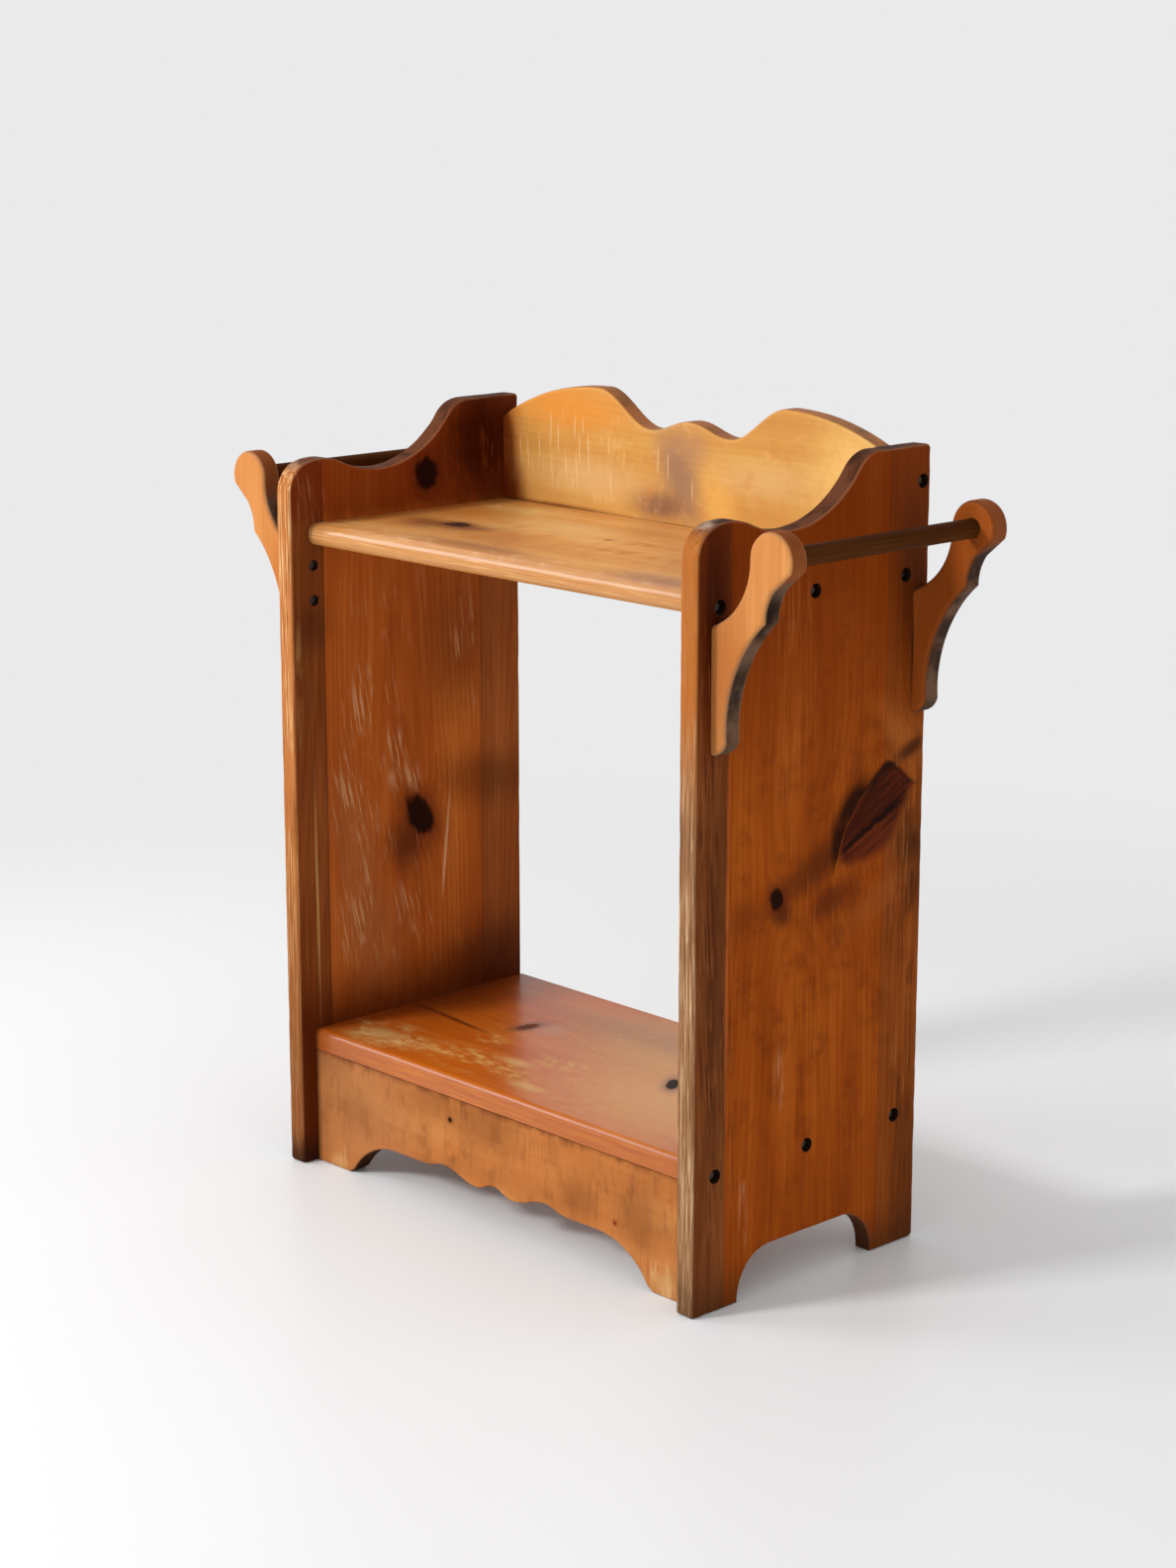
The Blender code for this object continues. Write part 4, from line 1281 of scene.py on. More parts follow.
# %% Side panel outline
UPPER_SHELF_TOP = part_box("upper_shelf")[1].z
SHOULDER_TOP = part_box("right_side_rear_strip")[1].z
SHOULDER_SETBACK = 0.0595
SHOULDER_RADIUS = 0.033
VALLEY_RADIUS = 0.100
LOBE_RISE = 0.0555
LOBE_SETBACK = 0.0355
LOBE_RADIUS = 0.062
LOBE_CORNER_RADIUS = 0.028
FOOT_LENGTH = 0.0533
FOOT_CORNER_RADIUS = 0.004
ARCH_HEIGHT = 0.041
ARCH_CORNER_RADIUS = 0.038
SIDE_EDGE_ROUND = 0.003
KNOCK_DEPTH = 0.0006


def side_outline():
    """A side panel from the side: a front lobe, a valley, a rear shoulder, and an arch between feet."""
    lobe_center = Vector((FRONT + LOBE_SETBACK, UPPER_SHELF_TOP + LOBE_RISE - LOBE_RADIUS))
    shoulder_center = Vector((REAR - SHOULDER_SETBACK, SHOULDER_TOP - SHOULDER_RADIUS))
    valley_center = meeting_point(lobe_center, LOBE_RADIUS + VALLEY_RADIUS,
                                  shoulder_center, SHOULDER_RADIUS + VALLEY_RADIUS)
    corner_y = FRONT + LOBE_CORNER_RADIUS
    corner_reach = LOBE_RADIUS - LOBE_CORNER_RADIUS
    corner_rise = math.sqrt(corner_reach ** 2 - (corner_y - lobe_center.x) ** 2)
    corner_center = Vector((corner_y, lobe_center.y + corner_rise))
    lobe_start = angle_to(lobe_center, corner_center)
    lobe_end = angle_to(lobe_center, valley_center)
    shoulder_start = angle_to(shoulder_center, valley_center)
    toe = FOOT_CORNER_RADIUS

    outline = arc(Vector((FRONT + toe, toe)), toe, 270, 180)
    outline += arc(corner_center, LOBE_CORNER_RADIUS, 180, lobe_start)
    outline += arc(lobe_center, LOBE_RADIUS, lobe_start, lobe_end)[1:]
    outline += arc(valley_center, VALLEY_RADIUS, lobe_end + 180, shoulder_start + 180)[1:]
    outline += arc(shoulder_center, SHOULDER_RADIUS, shoulder_start, 90)[1:]
    outline += arc(Vector((REAR - toe, SHOULDER_TOP - toe)), toe, 90, 0)
    outline += arc(Vector((REAR - toe, toe)), toe, 0, -90)
    for end, first, last in ((1, 0, 90), (-1, 90, 180)):
        foot_y = end * (REAR - FOOT_LENGTH)
        cove = Vector((foot_y - end * ARCH_CORNER_RADIUS, ARCH_HEIGHT - ARCH_CORNER_RADIUS))
        curve = arc(cove, ARCH_CORNER_RADIUS, first, last)
        foot = [Vector((foot_y, 0))]
        outline += foot + curve if end > 0 else curve + foot
    return outline


print("side outline has", len(side_outline()), "points")

# %% [markdown]
# The marks on each panel were found one by one and are placed in metres: across the panel from front to
# back, and up from the floor. The strips were stained darker and are grey with handling. The front edges have
# lost their varnish, and show pale streaks of bare grain.

# %% Side panel tones
Log = namedtuple("Log", "pith seed spacing fibre")
PANEL_PITH = 0.075
PANEL_LOGS = {
    "front_strip": Log(pith=-0.10, seed=1.0, spacing=0.003, fibre=0.6),
    "centre_board": Log(pith=-0.01, seed=4.0, spacing=0.0042, fibre=0.4),
    "rear_strip": Log(pith=0.14, seed=7.0, spacing=0.003, fibre=0.5),
}
PALE = (216, 160, 112)
SMOKE = (58, 28, 12)
EDGE_TONE = (106, 62, 40)
# a painted highlight along the panels' rounded rims
EDGE_RIM_HIGHLIGHT = ((176, 122, 88), 0.4)

PANEL_TONES = {
    "left": {
        "front_strip": ((162, 88, 40), (131, 66, 27), (85, 40, 15)),
        "centre_board": ((212, 119, 47), (186, 92, 30), (133, 56, 16)),
        "rear_strip": ((184, 104, 51), (157, 81, 34), (99, 47, 19)),
    },
    "right": {
        "front_strip": ((152, 86, 42), (122, 63, 28), (76, 37, 14)),
        "centre_board": ((190, 98, 26), (166, 76, 14), (120, 47, 5)),
        "rear_strip": ((172, 91, 33), (148, 73, 23), (98, 45, 12)),
    },
}
FRONT_EDGES = {
    "left": Front(sound=(136, 80, 40), worn=(186, 114, 60), bare=(226, 184, 132), gap=(104, 58, 30),
                  none=0.06, full=0.42),
    "right": Front(sound=(180, 106, 48), worn=(148, 104, 70), bare=(214, 180, 136), gap=(78, 50, 30),
                   none=0.52, full=0.38),
}
print("boards in a panel:", list(PANEL_LOGS))

# %% Side panel marks
PANEL_MARKS = {
    "left": [
        # painted shade: the inner face above the upper shelf is darker, as it lies in shade
        wash(0.575, 0.592, (119, 39, 9), 0.7),
        wash(0.190, 0.125, (84, 27, 6), 0.8),
        knot(0.010, 0.301, 0.0150, 0.0240, 34, 0.8),
        knot(0.022, 0.613, 0.0145, 0.0165, 0, 0.7),
        # painted shade in the back corner above the upper shelf
        stain(0.085, 0.640, 0.034, 0.040, 0, (62, 16, 2), 0.95),
        stain(-0.008, 0.276, 0.016, 0.018, 40, (84, 36, 18), 0.7),
        stain(0.090, 0.324, 0.040, 0.018, -8, SMOKE, 0.45),
        stain(0.090, 0.150, 0.040, 0.030, 0, (70, 26, 8), 0.6),
        stain(-0.112, 0.492, 0.014, 0.016, 0, SMOKE, 0.45),
        stain(0.0400, 0.266, 0.0012, 0.030, -6, (232, 176, 124), 0.9),
        stain(-0.066, 0.270, 0.018, 0.060, 10, (178, 110, 64), 0.4),
        stain(-0.050, 0.196, 0.026, 0.034, 12, (178, 110, 64), 0.4),
        stain(0.056, 0.462, 0.036, 0.050, 0, (96, 44, 22), 0.5),
        scratches(-0.050, 0.410, 0.046, 0.052, 9, PALE, 0.9, 0.49, GOUGES),
        scratches(-0.018, 0.366, 0.034, 0.048, 11, PALE, 0.9, 0.48, GOUGES),
        scratches(0.002, 0.340, 0.014, 0.022, 14, PALE, 0.9, 0.44, GOUGES),
        scratches(-0.064, 0.330, 0.040, 0.066, 12, PALE, 0.85, 0.49, GOUGES),
        scratches(-0.034, 0.290, 0.016, 0.050, 8, PALE, 0.8, 0.48, GOUGES),
        scratches(-0.054, 0.220, 0.052, 0.072, 12, PALE, 0.8, 0.49, GOUGES),
        scratches(0.004, 0.222, 0.030, 0.050, 13, PALE, 0.75, 0.51, GOUGES),
        scratches(0.070, 0.445, 0.030, 0.090, 6, PALE, 0.5, 0.50, GOUGES),
        scratches(-0.022, 0.500, 0.064, 0.056, 5, PALE, 0.35, 0.51, GOUGES),
        hairs(-0.020, 0.300, 0.090, 0.200, 9, (206, 140, 88), 0.35, 0.0090, 0.040, 0.3),
        stain(-0.1115, 0.245, 0.0010, 0.060, 0.5, (206, 158, 98), 0.85),
        scratches(-0.127, 0.440, 0.0050, 0.070, 0, (196, 150, 92), 0.7, 0.42, STROKES),
        scratches(-0.108, 0.610, 0.030, 0.045, 8, PALE, 0.4, 0.52, HAIRLINES),
        scratches(0.100, 0.640, 0.025, 0.050, 0, (176, 86, 30), 0.6, 0.50),
    ],
    "right": [
        wash(0.34, 0.66, (120, 42, 4), 0.6),
        stain(-0.116, 0.570, 0.012, 0.060, 0, (56, 15, 2), 0.75),
        stain(0.098, 0.446, 0.009, 0.024, 40, (190, 104, 42), 0.5),
        stain(0.116, 0.428, 0.014, 0.005, 20, SMOKE, 0.85),
        stain(0.122, 0.335, 0.013, 0.030, 8, SMOKE, 0.8),
        stain(0.024, 0.321, 0.017, 0.009, 18, (84, 34, 12), 0.5),
        stain(-0.034, 0.316, 0.009, 0.007, 0, (80, 32, 12), 0.75),
        stain(0.006, 0.350, 0.022, 0.012, 28, (74, 32, 11), 0.7),
        stain(-0.024, 0.336, 0.016, 0.010, 20, (104, 46, 15), 0.5),
        stain(-0.080, 0.322, 0.010, 0.012, 0, (110, 48, 15), 0.5),
        stain(0.122, 0.060, 0.012, 0.060, 0, SMOKE, 0.5),
        stain(-0.112, 0.270, 0.010, 0.130, 0, SMOKE, 0.5),
        stain(0.114, 0.570, 0.014, 0.050, 0, SMOKE, 0.55),
        knot(-0.042, 0.330, 0.0082, 0.0105, 20, 0.85),
        scratches(-0.075, 0.085, 0.008, 0.050, 0, PALE, 0.45, 0.47),
        scratches(-0.036, 0.175, 0.008, 0.040, 0, PALE, 0.35, 0.47),
        scratches(-0.112, 0.300, 0.034, 0.330, 2, (54, 28, 14), 0.6, 0.50),
        scratches(0.116, 0.250, 0.030, 0.330, 0, (54, 28, 14), 0.5, 0.50),
        scratches(0.030, 0.250, 0.110, 0.260, 0, (104, 42, 10), 0.3, 0.53),
        scratches(0.000, 0.330, 0.200, 0.420, 0, (112, 48, 16), 0.4, 0.44, CLOUDS, 0.2),
        stain(-0.0975, 0.300, 0.0009, 0.110, 0, (210, 106, 48), 0.9),
        stain(0.085, 0.310, 0.040, 0.010, 24, (176, 92, 38), 0.4),
        stain(0.020, 0.312, 0.020, 0.008, 10, (92, 38, 14), 0.5),
        scratches(-0.110, 0.170, 0.034, 0.260, 3, (170, 98, 50), 0.4, 0.50),
        scratches(-0.026, 0.500, 0.040, 0.140, 0, (196, 104, 44), 0.4, 0.48),
        hairs(0.000, 0.260, 0.090, 0.240, 1, (190, 106, 50), 0.4, 0.0150, 0.050, 0.35),
        hairs(-0.112, 0.330, 0.026, 0.300, 2, (168, 106, 62), 0.35, 0.0070, 0.045, 0.5),
        hairs(0.112, 0.280, 0.026, 0.260, 0, (176, 118, 72), 0.45, 0.0080, 0.060, 0.4),
    ],
}
PANEL_GRIME = {
    "left": [wash(0.040, 0.004, (46, 22, 14), 0.85)],
    "right": [wash(0.050, 0.0, (58, 36, 20), 0.55)],
}
# a painted highlight on the rounded front corner of each panel's lobe, broken into patches
LOBE_HIGHLIGHT_MARKS = [scratches(-0.124, 0.614, 0.045, 0.060, 0, (198, 172, 150), 0.75, 0.36, PATCHES)]
print("marks on the panels:", {side_name: len(marks) for side_name, marks in PANEL_MARKS.items()})

# %% [markdown]
# Each board of a panel gets only the marks that reach it, because a shader with too many of them runs out
# of room and comes out black. Marks that cross a seam are given to both boards, and meet there.

# %% Side panels
def reaching(marks, low, high):
    """The marks that reach the part of a panel between two places across it, and every wash."""
    kept = []
    for mark in marks:
        if not isinstance(mark, Wash):
            spread = HALO_REACH if isinstance(mark, Blot) else 1.0
            aside = abs(mark.reach[0] * math.cos(mark.turn)) + abs(mark.reach[2] * math.sin(mark.turn))
            if mark.centre[0] + aside * spread < low or mark.centre[0] - aside * spread > high:
                continue
        kept.append(mark)
    return kept


def panel_finish(side_name, board_name):
    """The finish of one board of a panel."""
    side = SIDES[side_name]
    low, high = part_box(f"{side_name}_side_{board_name}")
    log = PANEL_LOGS[board_name]
    depth = side * ((SIDE_INNER + SIDE_OUTER) / 2 - PANEL_PITH)
    return pine(f"{side_name}_{board_name}_pine", "YXZ", PANEL_TONES[side_name][board_name],
                (log.pith, depth, 0), seed=log.seed + side,
                marks=reaching(PANEL_MARKS[side_name], low.y, high.y), side=1,
                edge=(EDGE_TONE, 1.0), rim=EDGE_RIM_HIGHLIGHT, rim_marks=LOBE_HIGHLIGHT_MARKS, grime=PANEL_GRIME[side_name],
                spike=side_name == "right" and board_name != "front_strip",
                spacing=log.spacing, fibre=log.fibre,
                front=FRONT_EDGES[side_name] if board_name == "front_strip" else None)


def make_panel(side_name):
    """The three boards of one side panel."""
    side = SIDES[side_name]
    whole = prism(side_outline(), "X", side * SIDE_INNER, side * SIDE_OUTER)
    round_rims(whole, "X", SIDE_EDGE_ROUND, lambda point: True)
    dent_edges(whole, "X", KNOCK_DEPTH)
    for board_name in PANEL_LOGS:
        finish = panel_finish(side_name, board_name)
        node = f"{side_name}_side_{board_name}"
        low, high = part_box(node)
        board = saw(whole, None if board_name == "front_strip" else low.y,
                    None if board_name == "rear_strip" else high.y)
        piece = add_object(f"{side_name}_{board_name}", board, finish, SOOT)
        bore(piece, holes_for(f"_{side_name}"))
        settle(piece, "stand", node)
    whole.free()


for side_name in SIDES:
    make_panel(side_name)
print("side panels made")

# %% [markdown]
# ## The shelves
#
# The upper shelf has a full bullnose that has been rubbed pale. The lower one is only eased along its top
# edge. Each is a cross-section drawn out along X, then cut up along its length so that its nose can be
# dented.

# %% Shelf shapes
NOSE_FLAT = 0.002
LOWER_EDGE_ROUND = 0.005
UNDER_EDGE_ROUND = 0.001
SHELF_CUTS = 70
END_LEAN = 0.3


def shelf_outline(low, high, upper_round, lower_round):
    """A shelf's cross-section, its front edge rounded above and below."""
    outline = [Vector((high.y, low.z)), Vector((high.y, high.z))]
    outline += arc(Vector((low.y + upper_round, high.z - upper_round)), upper_round, 90, 180)
    outline += arc(Vector((low.y + lower_round, low.z + lower_round)), lower_round, 180, 270)
    return outline


def make_shelf(node, name, upper_round, lower_round, finish):
    """One shelf between the side panels."""
    low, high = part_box(node)
    mesh = bmesh.new()
    outline = shelf_outline(low, high, upper_round, lower_round)
    mesh.faces.new([mesh.verts.new((low.x, point.x, point.y)) for point in outline])
    draw_out(mesh, (high.x - low.x, 0, 0))
    long_edges = [edge for edge in mesh.edges if abs(edge.verts[0].co.x - edge.verts[1].co.x) > SAME_PLACE]
    bmesh.ops.subdivide_edges(mesh, edges=long_edges, cuts=SHELF_CUTS, use_grid_fill=True)
    bmesh.ops.recalc_face_normals(mesh, faces=mesh.faces)
    mesh.normal_update()
    for vert in mesh.verts:
        if vert.co.y < low.y + upper_round and abs(vert.normal.x) < END_LEAN:
            vert.co.y += KNOCK_DEPTH * knock(vert.co)
    piece = add_object(name, mesh, finish, SOOT)
    bore(piece, holes_for(node))
    return settle(piece, "stand", node)


upper_low, upper_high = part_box("upper_shelf")
nose = (upper_high.z - upper_low.z - NOSE_FLAT) / 2
print("nose radius", round(nose * 1000, 1), "mm")

# %% [markdown]
# The upper shelf is pale, with a knot and water stains to the left and cloudy patches where things were set
# down. The lower one is redder and glossier, and its varnish has flaked off along the front. A nose is a
# front edge that is worn all along, so its record gives one tone as both sound and worn, and its wear is
# full at every height of the stand.

# %% Shelf marks
UPPER_SHELF_MARKS = [
    knot(-0.022, -0.145, 0.0110, 0.0150, 0, 1.0, 0.75),
    stain(-0.032, -0.178, 0.014, 0.022, 20, (100, 52, 38), 0.85),
    stain(-0.030, -0.120, 0.010, 0.018, -30, (124, 68, 44), 0.7),
    # painted shade at the shelf's left end, in the corner by the left panel
    stain(0.000, -0.234, 0.110, 0.012, 0, (150, 72, 20), 0.7),
    stain(0.020, -0.190, 0.050, 0.030, 0, (206, 120, 46), 0.6),
    stain(-0.030, -0.060, 0.030, 0.024, 0, (214, 134, 62), 0.6),
    stain(0.076, -0.160, 0.016, 0.030, 0, (236, 186, 108), 0.8),
    stain(0.030, -0.060, 0.020, 0.050, 10, (240, 190, 124), 0.7),
    knot(0.014, 0.006, 0.003, 0.004, 0, 0.5, 0.3),
    stain(-0.096, 0.170, 0.014, 0.036, 5, (150, 96, 74), 0.75),
    stain(-0.088, -0.050, 0.008, 0.060, 0, (166, 100, 54), 0.6),
    scratches(0.080, -0.170, 0.040, 0.070, 0, (242, 198, 128), 0.7, 0.46, SMEARS, 0.18),
    scratches(0.026, -0.040, 0.060, 0.120, 0, (240, 194, 130), 0.6, 0.47, SMEARS, 0.18),
    scratches(-0.030, -0.020, 0.090, 0.280, 0, (194, 114, 48), 0.55, 0.46, CLOUDS, 0.2),
    scratches(-0.100, 0.0, 0.022, 0.400, 0, (240, 190, 138), 0.5, 0.46, SMEARS, 0.12),
]
LOWER_SHELF_MARKS = [
    # painted shade at the left end, deepest at the back, in the corner by the left panel
    stain(0.050, -0.236, 0.080, 0.020, 0, (92, 30, 6), 0.85),
    stain(0.040, -0.200, 0.040, 0.020, 0, (140, 62, 12), 0.6),
    # paler at the back on the right: partly the board's own tone, partly a painted reflection
    stain(0.080, 0.060, 0.060, 0.090, 0, (216, 160, 82), 0.75),
    stain(0.036, -0.088, 0.012, 0.010, 0, (198, 138, 98), 0.5),
    knot(0.026, -0.110, 0.0140, 0.0070, 8, 0.85, 0.2),
    knot(0.007, 0.093, 0.0150, 0.0062, -38, 0.8, 1.0),
    stain(-0.008, -0.168, 0.0022, 0.030, 6, (86, 34, 10), 0.9),
    stain(-0.003, -0.215, 0.0024, 0.020, 4, (86, 34, 10), 0.8),
    # paler to the right: partly the board's own tone, partly a painted reflection
    stain(-0.030, 0.150, 0.050, 0.090, 0, (228, 165, 90), 0.8),
    stain(0.085, 0.000, 0.020, 0.090, 0, (166, 108, 64), 0.5),
    stain(-0.082, -0.186, 0.0090, 0.0160, 0, (234, 192, 120), 0.75),
    stain(-0.050, -0.042, 0.0055, 0.0130, 0, (234, 190, 120), 0.6),
    stain(-0.088, 0.010, 0.0055, 0.0150, 0, (230, 184, 112), 0.55),
    scratches(-0.080, -0.182, 0.040, 0.070, 0, (236, 194, 118), 1.0, 0.34, SMEARS, 0.28),
    scratches(-0.072, -0.070, 0.036, 0.090, 0, (230, 182, 102), 1.0, 0.38, SMEARS, 0.30),
    scratches(-0.022, -0.105, 0.020, 0.030, 0, (222, 170, 92), 0.8, 0.40, SMEARS, 0.26),
    scratches(-0.032, -0.005, 0.030, 0.050, 30, (230, 186, 118), 0.9, 0.40, SMEARS, 0.26),
    scratches(-0.080, 0.060, 0.036, 0.100, 0, (226, 178, 110), 0.8, 0.42, SMEARS, 0.30),
    scratches(0.060, -0.030, 0.060, 0.120, 0, (222, 172, 110), 0.5, 0.50, SMEARS, 0.16),
]
print("marks on the shelves:", len(UPPER_SHELF_MARKS), "and", len(LOWER_SHELF_MARKS))

# %% Shelves
SHELF_PITH = 0.06
NOSE_WEAR = {"none": 2.0, "full": 1.0}


def nose_wear(whole, bare, gap):
    """A rubbed shelf nose: one tone, with paler and darker streaks."""
    return Front(sound=whole, worn=whole, bare=bare, gap=gap, **NOSE_WEAR)


upper_pine = pine("upper_shelf_pine", "YZX", tones=((248, 192, 118), (228, 156, 80), (184, 108, 50)),
                  pith=(0.03, UPPER_SHELF_TOP - SHELF_PITH, 0), seed=11.0, marks=UPPER_SHELF_MARKS,
                  spacing=0.006, shine=0.1, coat=0.4, glaze=0.22, nose=1.0, side=1, fibre=0.28,
                  front=nose_wear((200, 138, 78), (218, 164, 106), (184, 118, 64)))
lower_pine = pine("lower_shelf_pine", "YZX", tones=((220, 127, 33), (204, 100, 15), (167, 72, 9)),
                  pith=(-0.02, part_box("lower_shelf")[1].z - SHELF_PITH, 0), seed=13.0,
                  marks=LOWER_SHELF_MARKS, spacing=0.006, shine=0.1, coat=0.48, glaze=0.24, nose=1.0, side=1,
                  fibre=0.25,
                  front=nose_wear((184, 100, 42), (200, 120, 58), (164, 82, 32)),
                  # the lower shelf also darkens towards its left end, front edge included
                  grime=[wash(-0.090, -0.240, (128, 52, 14), 0.4)])
make_shelf("upper_shelf", "upper_shelf_board", nose, nose, upper_pine)
make_shelf("lower_shelf", "lower_shelf_board", LOWER_EDGE_ROUND, UNDER_EDGE_ROUND, lower_pine)
print("shelves made")

# %% [markdown]
# ## Backsplash and apron
#
# The backsplash has a small bump between two broad lobes, the apron a run of scallops between two coves.
# Either could be traced all round by eye, but the two halves would differ a little, so each is half an
# outline, mirrored.

# %% Backsplash shape
BUMP_RISE = 0.090
VALLEY_RISE = 0.0795
VALLEY_OFFSET = 0.047
LOBE_OFFSET = 0.113
END_RISE = 0.0762
BACKSPLASH_ROUND = 0.003


def backsplash_outline(low, high):
    """The backsplash from the front."""
    bump = Vector((0, UPPER_SHELF_TOP + BUMP_RISE))
    valley = Vector((VALLEY_OFFSET, UPPER_SHELF_TOP + VALLEY_RISE))
    lobe = Vector((LOBE_OFFSET, high.z))
    end = Vector((high.x, UPPER_SHELF_TOP + END_RISE))
    radius = (end - lobe).length_squared / (2 * (lobe.y - end.y))
    center = lobe - Vector((0, radius))
    half = [bump] + wave(bump, valley) + wave(valley, lobe)
    half += arc(center, radius, 90, angle_to(center, end))[1:]
    half.append(Vector((high.x, low.z)))
    return mirrored(half)


def make_scrolled(node, name, outline, rounding, rounded, finish, holes=None):
    """A board across Y, sawn to its outline, rounded where it is to be, dented and bored."""
    low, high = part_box(node)
    board = prism(outline, "Y", low.y, high.y)
    round_rims(board, "Y", rounding, rounded)
    dent_edges(board, "Y", KNOCK_DEPTH / 2)
    if holes is None:
        return settle(add_object(name, board, finish), "stand", node)
    piece = add_object(name, board, finish, SOOT)
    bore(piece, holes)
    return settle(piece, "stand", node)


backsplash_low, backsplash_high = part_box("backsplash")


def rounded_backsplash(point):
    """All but the two ends and the foot."""
    return abs(point.x) < backsplash_high.x - SAME_PLACE and point.y > backsplash_low.z + BACKSPLASH_ROUND


print("backsplash outline has", len(backsplash_outline(backsplash_low, backsplash_high)), "points")

# %% [markdown]
# The backsplash is a pale board. Grey stains, such as water leaves, have spread in its middle, and its left
# half has short upright scratches. Its grain runs along the board, while the marks are placed as one sees
# them from the front.

# %% Backsplash
BACKSPLASH_PITH = 0.09
FLECKS = (70, 40, 80)
BACKSPLASH_MARKS = [
    # painted shadow at the left end, where the left panel blocks the light, deepest in the lower corner
    stain(backsplash_low.x, 0.620, 0.014, 0.090, 0, (150, 62, 12), 0.95),
    stain(backsplash_low.x, 0.584, 0.022, 0.022, 0, (124, 46, 8), 0.95),
    # painted shade along the joint with the upper shelf
    stain(-0.170, UPPER_SHELF_TOP, 0.060, 0.0020, 0, (120, 56, 16), 0.9),
    stain(-0.010, 0.626, 0.016, 0.030, 28, (158, 118, 94), 0.85),
    stain(-0.036, 0.597, 0.024, 0.010, 0, (138, 92, 70), 0.9),
    stain(0.004, 0.652, 0.016, 0.012, 0, (186, 134, 96), 0.6),
    stain(0.036, 0.606, 0.014, 0.020, 30, (246, 182, 90), 0.7),
    stain(0.090, 0.630, 0.040, 0.010, 0, (236, 188, 128), 0.5),
    stain(0.195, 0.640, 0.034, 0.034, 0, (255, 204, 118), 0.9),
    stain(-0.120, 0.612, 0.050, 0.012, 0, (232, 184, 122), 0.7),
    stain(-0.150, 0.672, 0.050, 0.014, 0, (240, 150, 54), 0.7),
    scratches(0.0, 0.630, 0.300, 0.090, 0, (212, 136, 60), 0.4, 0.48, CLOUDS, 0.2),
    scratches(0.0, 0.630, 0.300, 0.090, 0, (250, 202, 134), 0.25, 0.50, FLECKS, 0.2),
    hairs(-0.160, 0.634, 0.072, 0.040, 0, (252, 220, 164), 0.5, 0.0080, 0.056, 0.65),
    hairs(-0.120, 0.622, 0.080, 0.036, 1, (252, 220, 164), 0.5, 0.0095, 0.060, 0.6),
    hairs(-0.020, 0.624, 0.050, 0.030, 0, (250, 216, 164), 0.55, 0.0100, 0.046, 0.45),
]
backsplash_pine = pine("backsplash_pine", "XYZ", tones=((227, 177, 99), (217, 155, 77), (193, 122, 52)),
                       pith=(UPPER_SHELF_TOP, backsplash_low.y - BACKSPLASH_PITH, 0), seed=17.0,
                       marks=BACKSPLASH_MARKS, edge=((160, 84, 38), 0.8), shine=0.15, rings=0.03, fibre=0.15,
                       side=-1, grain_order="ZYX")
make_scrolled("backsplash", "backsplash_board", backsplash_outline(backsplash_low, backsplash_high),
              BACKSPLASH_ROUND, rounded_backsplash, backsplash_pine, holes_for("backsplash"))
print("backsplash made")

# %% [markdown]
# The apron's lower edge is a row of half waves too, between two round coves. Its square feet are eased where
# they run into the coves.

# %% Apron shape
APRON_FOOT_LENGTH = 0.047
APRON_TOE_EASE = 0.004
COVE_RADIUS = 0.070
COVE_HEIGHT = 0.0355
PEAK_HEIGHT = 0.0405
DROP_HEIGHT = 0.0315
NOTCH_HEIGHT = 0.038
DROP_SHARE = 0.18
PEAK_SHARE = 0.50
STEP_SHARE = 0.70
APRON_ROUND = 0.002


def apron_outline(low, high):
    """The apron from the front: square feet, a cove beside each, and a scalloped middle."""
    foot_x = high.x - APRON_FOOT_LENGTH
    cove_drop = COVE_RADIUS - COVE_HEIGHT
    cove_run = math.sqrt(COVE_RADIUS ** 2 - cove_drop ** 2)
    cove_top = Vector((foot_x - cove_run, COVE_HEIGHT))
    notch = Vector((0, NOTCH_HEIGHT))
    drop = Vector((DROP_SHARE * cove_top.x, DROP_HEIGHT))
    peak = Vector((PEAK_SHARE * cove_top.x, PEAK_HEIGHT))
    step = Vector((STEP_SHARE * cove_top.x, COVE_HEIGHT))
    half = [notch] + wave(notch, drop) + wave(drop, peak) + wave(peak, step)
    toe_start = math.degrees(math.asin((cove_drop + APRON_TOE_EASE) / COVE_RADIUS))
    half += arc(Vector((cove_top.x, -cove_drop)), COVE_RADIUS, 90, toe_start)
    half += [Vector((foot_x + APRON_TOE_EASE, low.z)), Vector((high.x, low.z)), Vector((high.x, high.z))]
    return mirrored(half)


apron_low, apron_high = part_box("front_apron")


def rounded_apron(point):
    """All but the two ends and the top."""
    return abs(point.x) < apron_high.x - SAME_PLACE and point.y < apron_high.z - SAME_PLACE


print("apron outline has", len(apron_outline(apron_low, apron_high)), "points")

# %% [markdown]
# The apron is near the floor, where shoes and brooms reach it, so it is scuffed: brown smudges, fine dark
# lines up and down it, and bare wood at its feet. Grain and marks run as on the backsplash.

